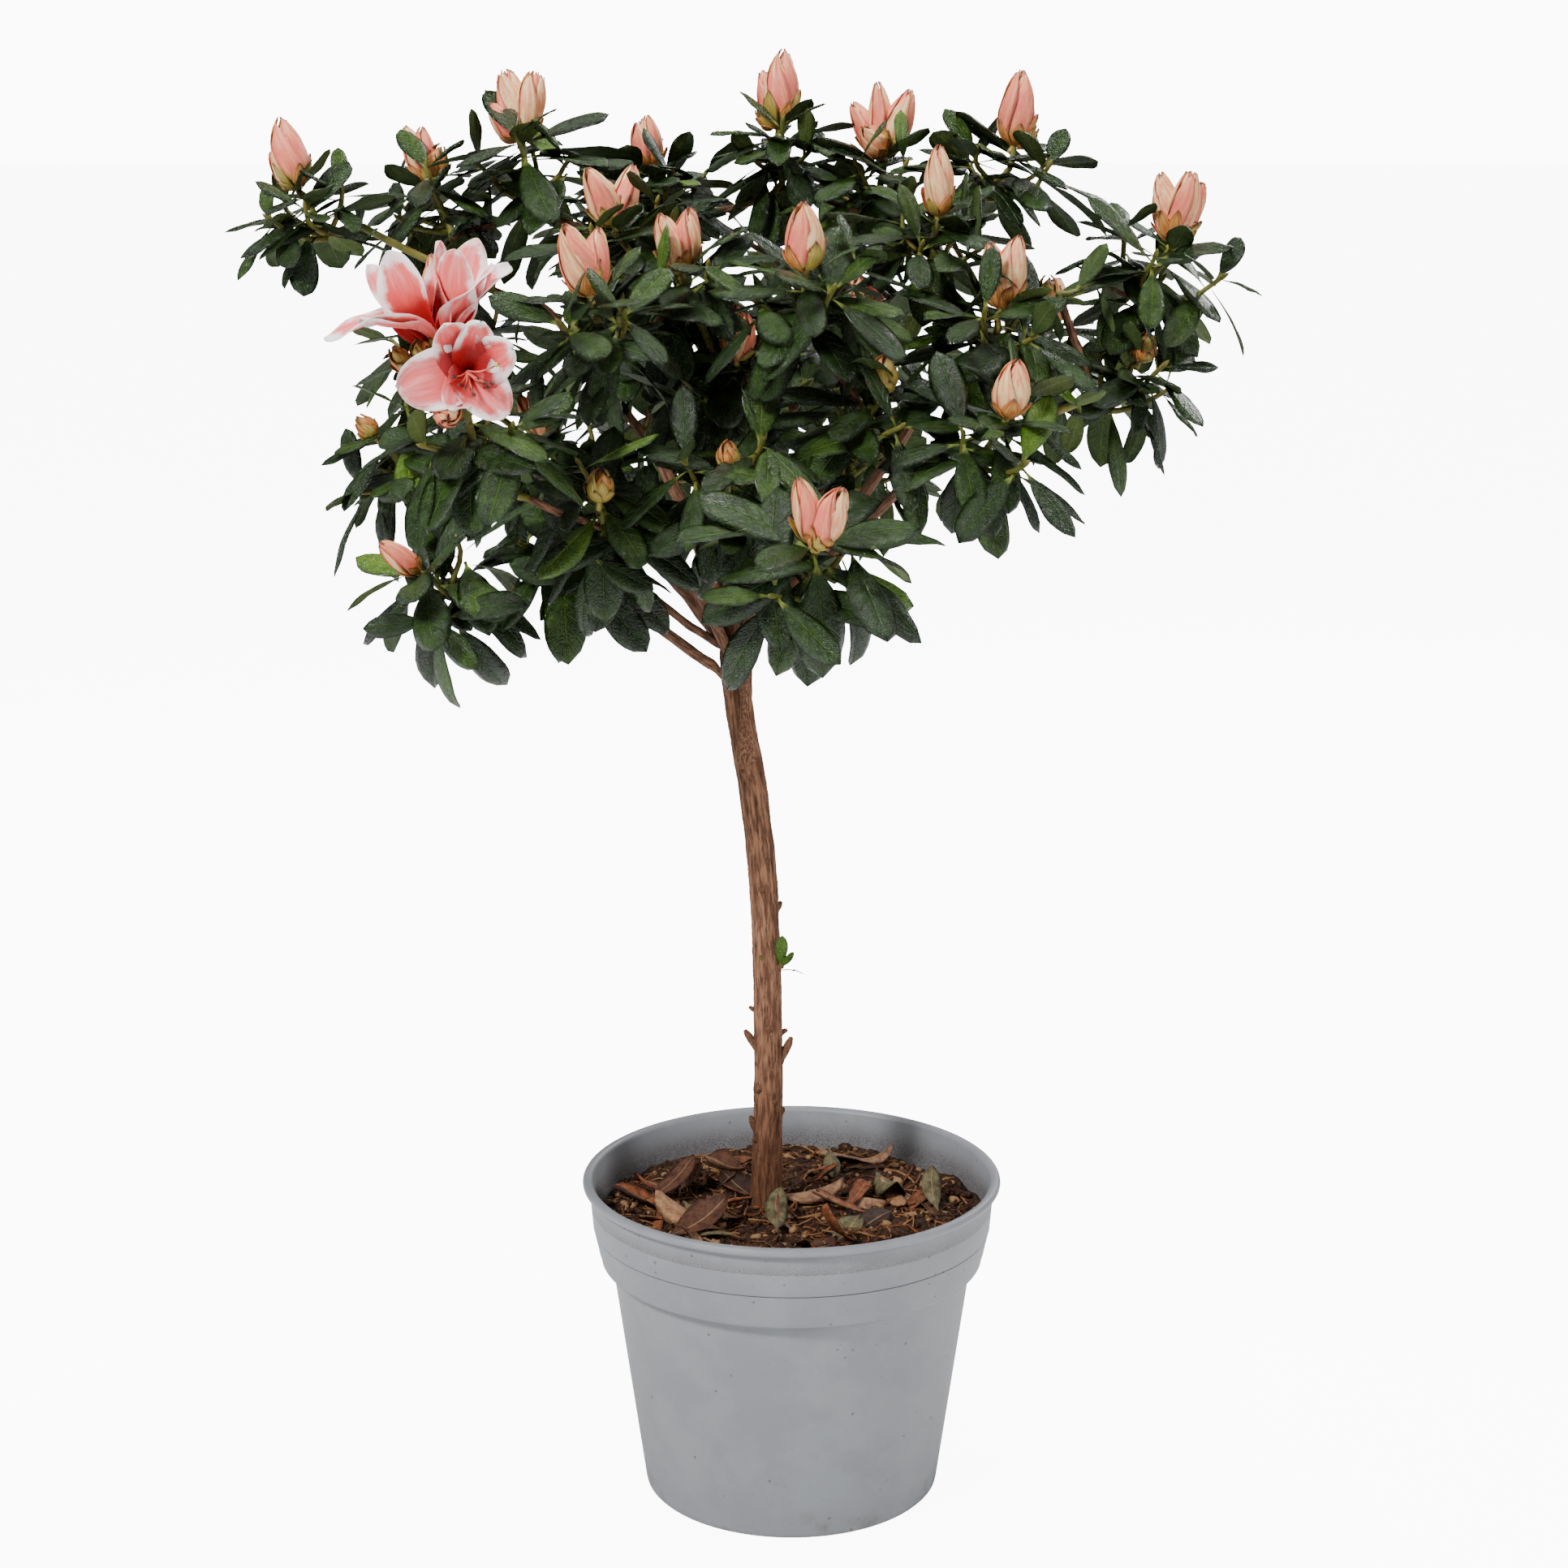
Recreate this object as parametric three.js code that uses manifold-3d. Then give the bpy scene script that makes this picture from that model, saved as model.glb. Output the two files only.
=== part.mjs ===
// A standard azalea: a dwarf evergreen azalea trained on one bare stem, in a round nursery pot.
// Millimetres, +Z up. The origin is the middle of the pot's flat underside, and -Y is the front.
//
// The crown is built from masses of foliage, one for each spray of shoots. Every mass swells
// until it meets the plane between it and its neighbour, so that masses touch and never cross.
// The boughs run from the head of the stem into the crown, and end where they enter a mass.

import * as THREE from "three";
import { mergeVertices } from "three/addons/utils/BufferGeometryUtils.js";
import Module from "manifold-3d";

const wasm = await Module();
wasm.setup();

// ---------------------------------------------------------------- driving dimensions

const clearance = 0.3; // left between two pieces that meet
const weld = 1e-3; // points closer than this are one point

const pot = {
  height: 116,
  baseRadius: 53,
  baseEdge: 2, // rounding round the underside
  shoulderRadius: 64.5, // where the body ends, under the collar
  shoulderHeight: 85,
  collarRadius: 69.4, // outside of the collar, at its lower edge
  collarHeight: 91,
  neckRadius: 72.2, // outside of the collar, just under the lip
  neckHeight: 104.5,
  lipRadius: 75.4,
  ledge: { inset: 0.8, rise: 2.2 }, // the rounded step from the body out to the collar
  lipSlope: 1.2, // how far the lip falls towards its inner edge
  wall: 1.5,
  floor: 2.4,
  segments: 30,
  lipSteps: 3,
  holes: { count: 6, radius: 3.5, circle: 38, sides: 8 },
};

const soil = {
  level: 104, // flat part, round the foot of the stem
  mound: 1.6, // height of the lumps on the surface
  edgeDrop: 2.5, // how far the surface falls off where it meets the wall
  edgeGap: 1, // how far it stays inside the wall there
  calmRadius: 16, // no lumps closer to the stem than this
  stem: [-9, 0], // where the stem stands
  rings: [56, 38, 17],
};

const stem = {
  foot: 5.0, // radii
  head: 4.7,
  flare: 1.3,
  flareLength: 9,
  sides: 10,
  steps: 12,
  // How far the middle of the stem has wandered to the side, by its height.
  lean: [
    [95, -9],
    [104, -9],
    [160, -8.2],
    [220, -9.8],
    [250, -12.6],
    [278, -17],
    [300, -20.4],
    [306, -20.6],
  ],
};

const crownAxis = [-20, 0]; // bearings and reaches are measured from here

const bough = { sides: 6, steps: 4 };

const twig = { foot: 1.6, tip: 1.2, sag: 9 }; // a bare shoot between two masses

const lump = { share: 0.12, waves: 4, pitch: 3.2 }; // unevenness of a mass

// ---------------------------------------------------------------- finishes

const finish = (color, roughness) =>
  new THREE.MeshStandardMaterial({ color, roughness, metalness: 0 });

const finishes = {
  plastic: finish(0x8f9396, 0.55),
  compost: finish(0x2c1c12, 0.95),
  bark: finish(0x6a4632, 0.85),
  greenwood: finish(0x6f7434, 0.6),
  foliage: finish(0x1f4a22, 0.35),
  petals: finish(0xf3a9aa, 0.5),
};

// ---------------------------------------------------------------- solids and booleans

// A closed geometry as a manifold-3d solid.
function toSolid(geometry) {
  const bare = geometry.index ? geometry.toNonIndexed() : geometry.clone();
  bare.deleteAttribute("normal");
  bare.deleteAttribute("uv");
  const merged = mergeVertices(bare, weld);
  return new wasm.Manifold(
    new wasm.Mesh({
      numProp: 3,
      vertProperties: new Float32Array(merged.attributes.position.array),
      triVerts: new Uint32Array(merged.index.array),
    }),
  );
}

function toGeometry(solid) {
  const { numProp, numVert, vertProperties, triVerts } = solid.getMesh();
  const positions = new Float32Array(numVert * 3);
  for (let i = 0; i < numVert; i++) {
    positions.set(vertProperties.subarray(i * numProp, i * numProp + 3), i * 3);
  }
  const geometry = new THREE.BufferGeometry();
  geometry.setAttribute("position", new THREE.BufferAttribute(positions, 3));
  geometry.setIndex(new THREE.BufferAttribute(triVerts, 1));
  geometry.computeVertexNormals();
  return geometry;
}

// The largest piece of a solid that a cut may have split.
function largestPiece(solid) {
  return solid
    .decompose()
    .reduce((best, piece) => (piece.volume() > best.volume() ? piece : best));
}

// A profile of (radius, height) points turned about the vertical axis.
function turned(profile, segments) {
  return new THREE.LatheGeometry(profile, segments).rotateX(Math.PI / 2);
}

// ---------------------------------------------------------------- pot

// The outside of the wall from the underside to the lip, moved inwards by `inset`.
function wallOutline(inset) {
  return [
    [pot.baseRadius, pot.baseEdge],
    [pot.shoulderRadius, pot.shoulderHeight],
    [pot.collarRadius - pot.ledge.inset, pot.shoulderHeight + pot.ledge.rise],
    [pot.collarRadius, pot.collarHeight],
    [pot.neckRadius, pot.neckHeight],
  ].map(([radius, height]) => new THREE.Vector2(radius - inset, height));
}

function potGeometry() {
  const lipMiddle = (pot.neckHeight + pot.height) / 2;
  const lipHalf = (pot.height - pot.neckHeight) / 2;
  const lipDepth = pot.lipRadius - pot.neckRadius;
  const lip = [];
  for (let i = 0; i <= pot.lipSteps; i++) {
    const turn = -Math.PI / 2 + (Math.PI * i) / pot.lipSteps;
    lip.push(
      new THREE.Vector2(
        pot.neckRadius + lipDepth * Math.cos(turn),
        lipMiddle + lipHalf * Math.sin(turn),
      ),
    );
  }
  const outside = wallOutline(0);
  const inside = wallOutline(pot.wall).reverse();
  inside[inside.length - 1].y = pot.floor;
  const profile = [
    new THREE.Vector2(0, 0),
    new THREE.Vector2(pot.baseRadius - pot.baseEdge, 0),
    ...outside.slice(0, -1),
    ...lip,
    new THREE.Vector2(pot.neckRadius - pot.wall, pot.height - pot.lipSlope),
    ...inside,
    new THREE.Vector2(0, pot.floor),
  ];
  let solid = toSolid(turned(profile, pot.segments));
  const { count, radius, circle, sides } = pot.holes;
  const reach = 3 * pot.floor; // a drill is longer than the floor is thick
  for (let i = 0; i < count; i++) {
    const angle = (2 * Math.PI * (i + 0.5)) / count;
    const drill = new THREE.CylinderGeometry(radius, radius, reach, sides)
      .rotateX(Math.PI / 2)
      .translate(circle * Math.cos(angle), circle * Math.sin(angle), 0);
    solid = solid.subtract(toSolid(drill));
  }
  return toGeometry(solid);
}

// ---------------------------------------------------------------- soil

// Height of the lumps at a place on the surface, from 0 to 1.
function lumpiness(x, y) {
  const wave = Math.sin(x / 9 + 1.3) * Math.cos(y / 7.5) + Math.sin((x - y) / 13);
  return 0.5 + wave / 4;
}

function soilGeometry() {
  const wall = wallOutline(pot.wall + clearance);
  wall[0].y = pot.floor + clearance;
  const brim = wall.pop();
  const edgeHeight = soil.level - soil.edgeDrop;
  const profile = [
    new THREE.Vector2(0, pot.floor + clearance),
    ...wall,
    new THREE.Vector2(brim.x - soil.edgeGap, edgeHeight),
    ...soil.rings.map((radius) => new THREE.Vector2(radius, soil.level)),
    new THREE.Vector2(0, soil.level),
  ];
  const geometry = turned(profile, pot.segments);
  const places = geometry.attributes.position;
  for (let i = 0; i < places.count; i++) {
    const [x, y, z] = [places.getX(i), places.getY(i), places.getZ(i)];
    if (z < soil.level - clearance) continue;
    const away = Math.hypot(x - soil.stem[0], y - soil.stem[1]);
    const calm = THREE.MathUtils.smoothstep(away, soil.calmRadius, 2 * soil.calmRadius);
    places.setZ(i, soil.level + soil.mound * calm * lumpiness(x, y));
  }
  return geometry;
}

// ---------------------------------------------------------------- limbs

// A limb is a cylinder bent along a curve. radiusAt gives its radius by the share of its length.
function limbSolid(curve, radiusAt, sides, steps) {
  const { normals, binormals } = curve.computeFrenetFrames(steps, false);
  const geometry = new THREE.CylinderGeometry(1, 1, 1, sides, steps);
  const places = geometry.attributes.position;
  for (let i = 0; i < places.count; i++) {
    const step = Math.round((places.getY(i) + 0.5) * steps);
    const radius = radiusAt(step / steps);
    const point = curve
      .getPointAt(step / steps)
      .addScaledVector(normals[step], -radius * places.getX(i))
      .addScaledVector(binormals[step], radius * places.getZ(i));
    places.setXYZ(i, ...point.toArray());
  }
  return toSolid(geometry);
}

// The stem rises from a flat cut on the soil to the fork.
function stemSolid(extra = 0) {
  const places = stem.lean.map(([height, x]) => new THREE.Vector3(x, 0, height));
  const [lowest, highest] = [places[0].z, places[places.length - 1].z];
  const radiusAt = (t) => {
    const above = THREE.MathUtils.lerp(lowest, highest, t) - soil.level;
    const flare = stem.flare * Math.exp(-Math.max(above, 0) / stem.flareLength);
    return THREE.MathUtils.lerp(stem.foot, stem.head, t) + flare + extra;
  };
  const curve = new THREE.CatmullRomCurve3(places);
  const solid = limbSolid(curve, radiusAt, stem.sides, stem.steps);
  return solid.trimByPlane([0, 0, 1], soil.level + clearance - extra);
}

// A place in the crown, by its bearing, its reach from the crown's axis, and its height.
function crownPlace({ bearing, reach, height }) {
  const angle = THREE.MathUtils.degToRad(bearing);
  return new THREE.Vector3(
    crownAxis[0] + reach * Math.cos(angle),
    crownAxis[1] + reach * Math.sin(angle),
    height,
  );
}

// A bough leaves the stem at height `from`. It bends where it has gone the share `out` of its
// way outwards and the share `up` of its way upwards.
function boughSolid(each, extra = 0) {
  const foot = new THREE.Vector3(...crownAxis, each.from);
  const tip = crownPlace(each);
  const bend = new THREE.Vector3(
    THREE.MathUtils.lerp(foot.x, tip.x, each.out),
    THREE.MathUtils.lerp(foot.y, tip.y, each.out),
    THREE.MathUtils.lerp(foot.z, tip.z, each.up),
  );
  const curve = new THREE.QuadraticBezierCurve3(foot, bend, tip);
  const radiusAt = (t) => THREE.MathUtils.lerp(each.foot, each.tip, t) + extra;
  return limbSolid(curve, radiusAt, bough.sides, bough.steps);
}

// A twig hangs a little between the middles of two masses.
function twigSolid(each, extra = 0) {
  const [foot, tip] = [each.out, each.to].map((name) =>
    crownPlace(masses.find((mass) => mass.name === name)),
  );
  const middle = foot.clone().lerp(tip, 0.5);
  middle.z -= twig.sag;
  const curve = new THREE.QuadraticBezierCurve3(foot, middle, tip);
  const radiusAt = (t) => THREE.MathUtils.lerp(twig.foot, twig.tip, t) + extra;
  return limbSolid(curve, radiusAt, bough.sides, bough.steps);
}

const boughs = [
  { name: "bough_low_left", from: 295, bearing: 221, reach: 77, height: 350,
    out: 0.5, up: 0.45, foot: 2.0, tip: 1.5 },
  { name: "bough_inner_left", from: 304, bearing: 223, reach: 72, height: 360,
    out: 0.5, up: 0.35, foot: 1.5, tip: 1.1 },
  { name: "bough_left", from: 303, bearing: 207, reach: 64, height: 356,
    out: 0.4, up: 0.84, foot: 3.1, tip: 2.0 },
  { name: "bough_upper_left", from: 304, bearing: 166, reach: 40, height: 394,
    out: 0.25, up: 0.5, foot: 2.8, tip: 1.9 },
  { name: "bough_centre", from: 305, bearing: 262, reach: 22, height: 398,
    out: 0.2, up: 0.5, foot: 2.7, tip: 1.9 },
  { name: "bough_right", from: 303, bearing: 38, reach: 26, height: 396,
    out: 0.3, up: 0.5, foot: 2.9, tip: 1.9 },
  { name: "bough_far_right", from: 304, bearing: 333, reach: 79, height: 406,
    out: 0.62, up: 0.5, foot: 2.3, tip: 1.5 },
  { name: "bough_front_right", from: 302, bearing: 314, reach: 100, height: 384,
    out: 0.55, up: 0.6, foot: 2.3, tip: 1.4 },
  { name: "bough_front", from: 301, bearing: 282, reach: 114, height: 356,
    out: 0.55, up: 0.72, foot: 2.2, tip: 1.5 },
  { name: "bough_front_left", from: 301, bearing: 249, reach: 84, height: 368,
    out: 0.45, up: 0.6, foot: 2.1, tip: 1.4 },
  { name: "bough_back_left", from: 303, bearing: 140, reach: 78, height: 364,
    out: 0.45, up: 0.6, foot: 2.5, tip: 1.6 },
  { name: "bough_back", from: 304, bearing: 101, reach: 78, height: 364,
    out: 0.45, up: 0.6, foot: 2.5, tip: 1.6 },
  { name: "bough_back_right", from: 302, bearing: 62, reach: 78, height: 364,
    out: 0.45, up: 0.6, foot: 2.4, tip: 1.5 },
];

const twigs = [
  { name: "twig_tip_left", out: "foliage_core_2", to: "foliage_tip_left" },
  { name: "twig_tip_right", out: "foliage_right", to: "foliage_tip_right" },
  { name: "twig_low_right", out: "foliage_front_right", to: "foliage_low_right" },
];

// ---------------------------------------------------------------- foliage

// Each mass: bearing in degrees from the right (270 is the front), reach from the crown's axis,
// height of its middle, half its width, and its height as a share of its width.
const outerMasses = [
  { name: "tip_left", bearing: 180, reach: 145, height: 461, half: 25, tall: 0.92 },
  { name: "high_left", bearing: 159, reach: 111, height: 459, half: 27, tall: 0.8 },
  { name: "top_left", bearing: 158, reach: 80, height: 476, half: 30, tall: 1 },
  { name: "top_back", bearing: 115, reach: 74, height: 465, half: 31, tall: 0.82 },
  { name: "top", bearing: 69, reach: 43, height: 480, half: 21, tall: 1.25 },
  { name: "top_middle", bearing: 37, reach: 66, height: 468, half: 27, tall: 0.9 },
  { name: "top_right", bearing: 18, reach: 95, height: 471, half: 30, tall: 0.76 },
  { name: "tip_right", bearing: 356, reach: 143, height: 443, half: 34, tall: 0.83 },
  { name: "high_right", bearing: 335, reach: 71, height: 448, half: 28, tall: 0.88 },
  { name: "high_middle", bearing: 194, reach: 40, height: 448, half: 29, tall: 0.88 },
  { name: "front_left", bearing: 239, reach: 84, height: 430, half: 28, tall: 0.85 },
  { name: "front_notch", bearing: 248, reach: 44, height: 434, half: 23, tall: 0.95 },
  { name: "front_high", bearing: 286, reach: 84, height: 437, half: 29, tall: 0.88 },
  { name: "right", bearing: 329, reach: 98, height: 424, half: 27, tall: 0.82 },
  { name: "front_right", bearing: 313, reach: 121, height: 392, half: 28, tall: 0.98 },
  { name: "front_inner", bearing: 301, reach: 92, height: 398, half: 26, tall: 0.82 },
  { name: "low_right", bearing: 351, reach: 134, height: 404, half: 27, tall: 0.7 },
  { name: "front_low", bearing: 281, reach: 133, height: 359, half: 31, tall: 1.04 },
  { name: "front_bottom", bearing: 267, reach: 90, height: 376, half: 28, tall: 0.95 },
  { name: "front_side", bearing: 247, reach: 97, height: 367, half: 27, tall: 1 },
  { name: "bloom", bearing: 233, reach: 149, height: 423, half: 28, tall: 1.05 },
  { name: "low_left", bearing: 211, reach: 117, height: 335, half: 23, tall: 1.35 },
  { name: "side_left", bearing: 186, reach: 120, height: 378, half: 27, tall: 1.15 },
  { name: "inner_left", bearing: 219, reach: 80, height: 346, half: 31, tall: 0.85 },
];

// The masses in the middle and round the back, spread evenly from one bearing to another.
const rings = [
  { name: "core", count: 3, first: 30, last: 270, reach: 36, height: 408, half: 39, tall: 0.85 },
  { name: "back_high", count: 2, first: 72, last: 118, reach: 108, height: 446, half: 34, tall: 0.8 },
  { name: "back", count: 4, first: 28, last: 152, reach: 121, height: 412, half: 37, tall: 0.85 },
  { name: "back_low", count: 3, first: 62, last: 140, reach: 86, height: 368, half: 33, tall: 0.85 },
];

const masses = [
  ...outerMasses,
  ...rings.flatMap(({ name, count, first, last, ...sizes }) =>
    Array.from({ length: count }, (_, i) => ({
      name: `${name}_${i + 1}`,
      bearing: first + ((last - first) * i) / (count - 1),
      ...sizes,
    })),
  ),
].map((mass) => ({ ...mass, name: `foliage_${mass.name}` }));

// A steady random number from 0 to 1 for a mass and one of its waves.
function chance(mass, wave) {
  const order = masses.indexOf(mass) * 2 * lump.waves + wave;
  return THREE.MathUtils.seededRandom(order + 1);
}

// How much a mass swells or shrinks in a direction.
function unevenness(mass, direction) {
  let sum = 0;
  for (let wave = 0; wave < lump.waves; wave++) {
    const tilt = 2 * Math.PI * chance(mass, wave);
    const rise = 2 * chance(mass, wave + lump.waves) - 1;
    const along = new THREE.Vector3(Math.cos(tilt), Math.sin(tilt), rise).dot(direction);
    sum += Math.sin(lump.pitch * along + tilt);
  }
  return 1 + (lump.share * sum) / Math.sqrt(lump.waves);
}

// How far a mass reaches in a direction: an uneven ellipsoid, held back by its neighbours.
function massReach(mass, direction) {
  const { half, tall } = mass;
  const flat = new THREE.Vector3(direction.x, direction.y, direction.z / tall);
  let reach = (half / flat.length()) * unevenness(mass, direction);
  const middle = crownPlace(mass);
  for (const other of masses) {
    if (other === mass) continue;
    const between = crownPlace(other).sub(middle);
    const apart = between.length();
    const facing = between.dot(direction) / apart;
    if (facing <= 0) continue;
    const share = (apart * half) / (half + other.half) - clearance / 2;
    reach = Math.min(reach, share / facing);
  }
  return reach;
}

function massGeometry(mass, extra = 0) {
  const geometry = new THREE.IcosahedronGeometry(1, 2);
  const places = geometry.attributes.position;
  const middle = crownPlace(mass);
  for (let i = 0; i < places.count; i++) {
    const direction = new THREE.Vector3().fromBufferAttribute(places, i).normalize();
    const point = direction
      .clone()
      .multiplyScalar(massReach(mass, direction) + extra)
      .add(middle);
    places.setXYZ(i, ...point.toArray());
  }
  return geometry;
}

// ---------------------------------------------------------------- assembly

const azalea = new THREE.Group();

function add(name, geometry, material) {
  const mesh = new THREE.Mesh(geometry, material);
  mesh.name = name;
  azalea.add(mesh);
}

add("pot", potGeometry(), finishes.plastic);
add("soil", soilGeometry(), finishes.compost);
add("stem", toGeometry(stemSolid()), finishes.bark);

// Each limb is cut back from the stem, the masses and the limbs before it.
const cutters = [stemSolid(clearance)];
for (const mass of masses) cutters.push(toSolid(massGeometry(mass, clearance)));

function addLimbs(limbs, makeSolid, material) {
  for (const limb of limbs) {
    const solid = cutters.reduce((left, cutter) => left.subtract(cutter), makeSolid(limb));
    add(limb.name, toGeometry(largestPiece(solid)), material);
    cutters.push(makeSolid(limb, clearance));
  }
}

addLimbs(boughs, boughSolid, finishes.bark);
addLimbs(twigs, twigSolid, finishes.greenwood);
for (const mass of masses) {
  const inFlower = mass.name === "foliage_bloom";
  add(mass.name, massGeometry(mass), inFlower ? finishes.petals : finishes.foliage);
}

export default azalea;
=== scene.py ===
import math
import random

import bpy
import numpy as np
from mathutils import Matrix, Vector, noise


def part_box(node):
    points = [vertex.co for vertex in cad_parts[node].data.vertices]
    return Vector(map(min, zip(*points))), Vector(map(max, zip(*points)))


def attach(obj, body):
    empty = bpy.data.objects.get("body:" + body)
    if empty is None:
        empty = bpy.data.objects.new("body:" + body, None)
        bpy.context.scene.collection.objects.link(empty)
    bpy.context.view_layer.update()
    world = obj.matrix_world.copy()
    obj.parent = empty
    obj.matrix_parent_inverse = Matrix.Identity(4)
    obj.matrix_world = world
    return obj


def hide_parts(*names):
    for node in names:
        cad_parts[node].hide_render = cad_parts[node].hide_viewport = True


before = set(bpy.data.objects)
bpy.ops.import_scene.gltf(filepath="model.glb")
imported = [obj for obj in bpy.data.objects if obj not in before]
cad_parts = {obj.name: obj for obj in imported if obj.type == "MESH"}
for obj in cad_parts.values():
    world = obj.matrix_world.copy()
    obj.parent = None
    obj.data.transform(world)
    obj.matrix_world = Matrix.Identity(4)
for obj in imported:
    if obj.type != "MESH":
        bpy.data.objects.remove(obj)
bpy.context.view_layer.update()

# A potted azalea standard, grown round the CAD frame. Sizes in the dictionaries are in
# millimetres and degrees, and everything is built in metres.
mm = 0.001
up = np.array([0.0, 0.0, 1.0])
random.seed(41)
print("frame loaded,", len(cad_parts), "nodes")


# Small sums

def unit(vector):
    return vector / max(np.linalg.norm(vector), 1e-9)


def turned(vector, axis, angle):
    axis = unit(axis)
    across = np.cross(axis, vector) * math.sin(angle)
    along = axis * axis.dot(vector) * (1 - math.cos(angle))
    return vector * math.cos(angle) + across + along


def sideOf(axis):
    # a steady direction square to an axis
    guide = np.array([1.0, 0.0, 0.0]) if abs(axis[0]) < 0.8 else np.array([0.0, 1.0, 0.0])
    return unit(np.cross(np.cross(axis, guide), axis))


def blendStep(low, high, value):
    share = np.clip((value - low) / (high - low), 0, 1)
    return share * share * (3 - 2 * share)


def curveThrough(places, count):
    # Catmull-Rom through the places, at even steps
    places = np.asarray(places, float)
    ends = np.vstack([2 * places[0] - places[1], places, 2 * places[-1] - places[-2]])
    run = []
    for i in range(len(places) - 1):
        a, b, c, d = ends[i:i + 4]
        t = np.linspace(0, 1, 24, endpoint=False)[:, None]
        run.append(0.5 * (2 * b + (c - a) * t + (2 * a - 5 * b + 4 * c - d) * t**2
                          + (3 * b - a - 3 * c + d) * t**3))
    run = np.vstack(run + [places[-1:]])
    gaps = np.linalg.norm(np.diff(run, axis=0), axis=1)
    far = np.concatenate([[0], np.cumsum(gaps)])
    even = np.linspace(0, far[-1], count)
    return np.column_stack([np.interp(even, far, run[:, k]) for k in range(3)])


def hookCurve(start, startWay, end, endWay, count=9, pull=0.4):
    # a curve that leaves along one direction and arrives along another
    reach = np.linalg.norm(end - start) * pull
    a, b = start + startWay * reach, end - endWay * reach
    t = np.linspace(0, 1, count)[:, None]
    return (1 - t)**3 * start + 3 * (1 - t)**2 * t * a + 3 * (1 - t) * t**2 * b + t**3 * end


# Gathering small shapes into one mesh

def gridFaces(rows, columns, wrap=False):
    # quads over a grid of points, with the shares of rows and columns at their corners
    wide = columns if wrap else columns + 1
    i, j = np.meshgrid(np.arange(rows), np.arange(columns), indexing="ij")
    i, j = i.ravel(), j.ravel()
    corners = [(i, j), (i, j + 1), (i + 1, j + 1), (i + 1, j)]
    faces = np.stack([r * wide + (c % wide if wrap else c) for r, c in corners], 1)
    shares = np.stack([np.stack([r / rows, c / columns], 1) for r, c in corners], 1)
    return faces, shares


class Heap:
    def __init__(self):
        self.points = []
        self.faces = []
        self.shares = []
        self.paints = []
        self.count = 0

    def add(self, points, faces, shares, paint=0):
        self.points.append(points)
        self.more(faces, shares, paint, self.count)
        self.count += len(points)

    def more(self, faces, shares, paint, base=None):
        # more faces on the points that were added last
        if base is None:
            base = self.count - len(self.points[-1])
        self.faces.append(faces + base)
        self.shares.append(shares)
        self.paints.append(np.broadcast_to(paint, len(faces)))

    def build(self, name, materials):
        mesh = bpy.data.meshes.new(name)
        points = np.concatenate(self.points)
        loops = np.concatenate([f.ravel() for f in self.faces])
        sizes = np.concatenate([np.full(len(f), f.shape[1]) for f in self.faces])
        shares = np.concatenate([s.reshape(-1, 2) for s in self.shares])
        paints = np.concatenate(self.paints)
        mesh.vertices.add(len(points))
        mesh.vertices.foreach_set("co", points.astype(np.float32).ravel())
        mesh.loops.add(len(loops))
        mesh.loops.foreach_set("vertex_index", loops.astype(np.int32))
        mesh.polygons.add(len(sizes))
        starts = np.concatenate([[0], np.cumsum(sizes)[:-1]])
        mesh.polygons.foreach_set("loop_start", starts.astype(np.int32))
        mesh.polygons.foreach_set("material_index", paints.astype(np.int32))
        mesh.update(calc_edges=True)
        mesh.shade_smooth()
        # "shape" is what the patterns read; "OFBake" gives each material a tile of its own
        mesh.uv_layers.new(name="shape").data.foreach_set("uv", shares.astype(np.float32).ravel())
        tiles = max(math.ceil(math.sqrt(len(materials))), 1)
        paint = np.repeat(paints, sizes)
        corner = np.column_stack([paint % tiles, paint // tiles])
        inTile = (corner + 0.02 + 0.96 * np.clip(shares, 0, 1)) / tiles
        mesh.uv_layers.new(name="OFBake").data.foreach_set("uv", inTile.astype(np.float32).ravel())
        for material in materials:
            mesh.materials.append(material)
        mesh.validate()
        piece = bpy.data.objects.new(name, mesh)
        bpy.context.scene.collection.objects.link(piece)
        mesh.calc_loop_triangles()
        print("  ", name, len(mesh.loop_triangles), "triangles")
        return piece


def finishPiece(piece, nodes=()):
    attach(piece, "root")
    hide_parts(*nodes)
    return piece


def addTube(heap, path, radii, sides, paint=0, relief=None):
    # a closed round limb along a path, with rings that don't spin
    path = np.asarray(path)
    ways = np.gradient(path, axis=0)
    ways /= np.maximum(np.linalg.norm(ways, axis=1), 1e-9)[:, None]
    radii = np.broadcast_to(radii, (len(path),))
    turn = np.linspace(0, 2 * math.pi, sides, endpoint=False)
    side = sideOf(ways[0])
    rings = []
    for i, way in enumerate(ways):
        side = unit(side - way * side.dot(way))
        ring = np.cos(turn)[:, None] * side + np.sin(turn)[:, None] * np.cross(way, side)
        out = radii[i] if relief is None else (radii[i] * relief[i])[:, None]
        rings.append(path[i] + out * ring)
    rows = len(path) - 1
    faces, shares = gridFaces(rows, sides, wrap=True)
    points = np.vstack(rings + [path[:1], path[-1:]])
    heap.add(points, faces, shares, paint)
    j = np.arange(sides)
    k = (j + 1) % sides
    centre = np.full(sides, len(points) - 2)
    heap.more(np.stack([k, j, centre], 1), np.zeros((sides, 3, 2)), paint)
    heap.more(np.stack([rows * sides + j, rows * sides + k, centre + 1], 1), np.ones((sides, 3, 2)), paint)


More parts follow.
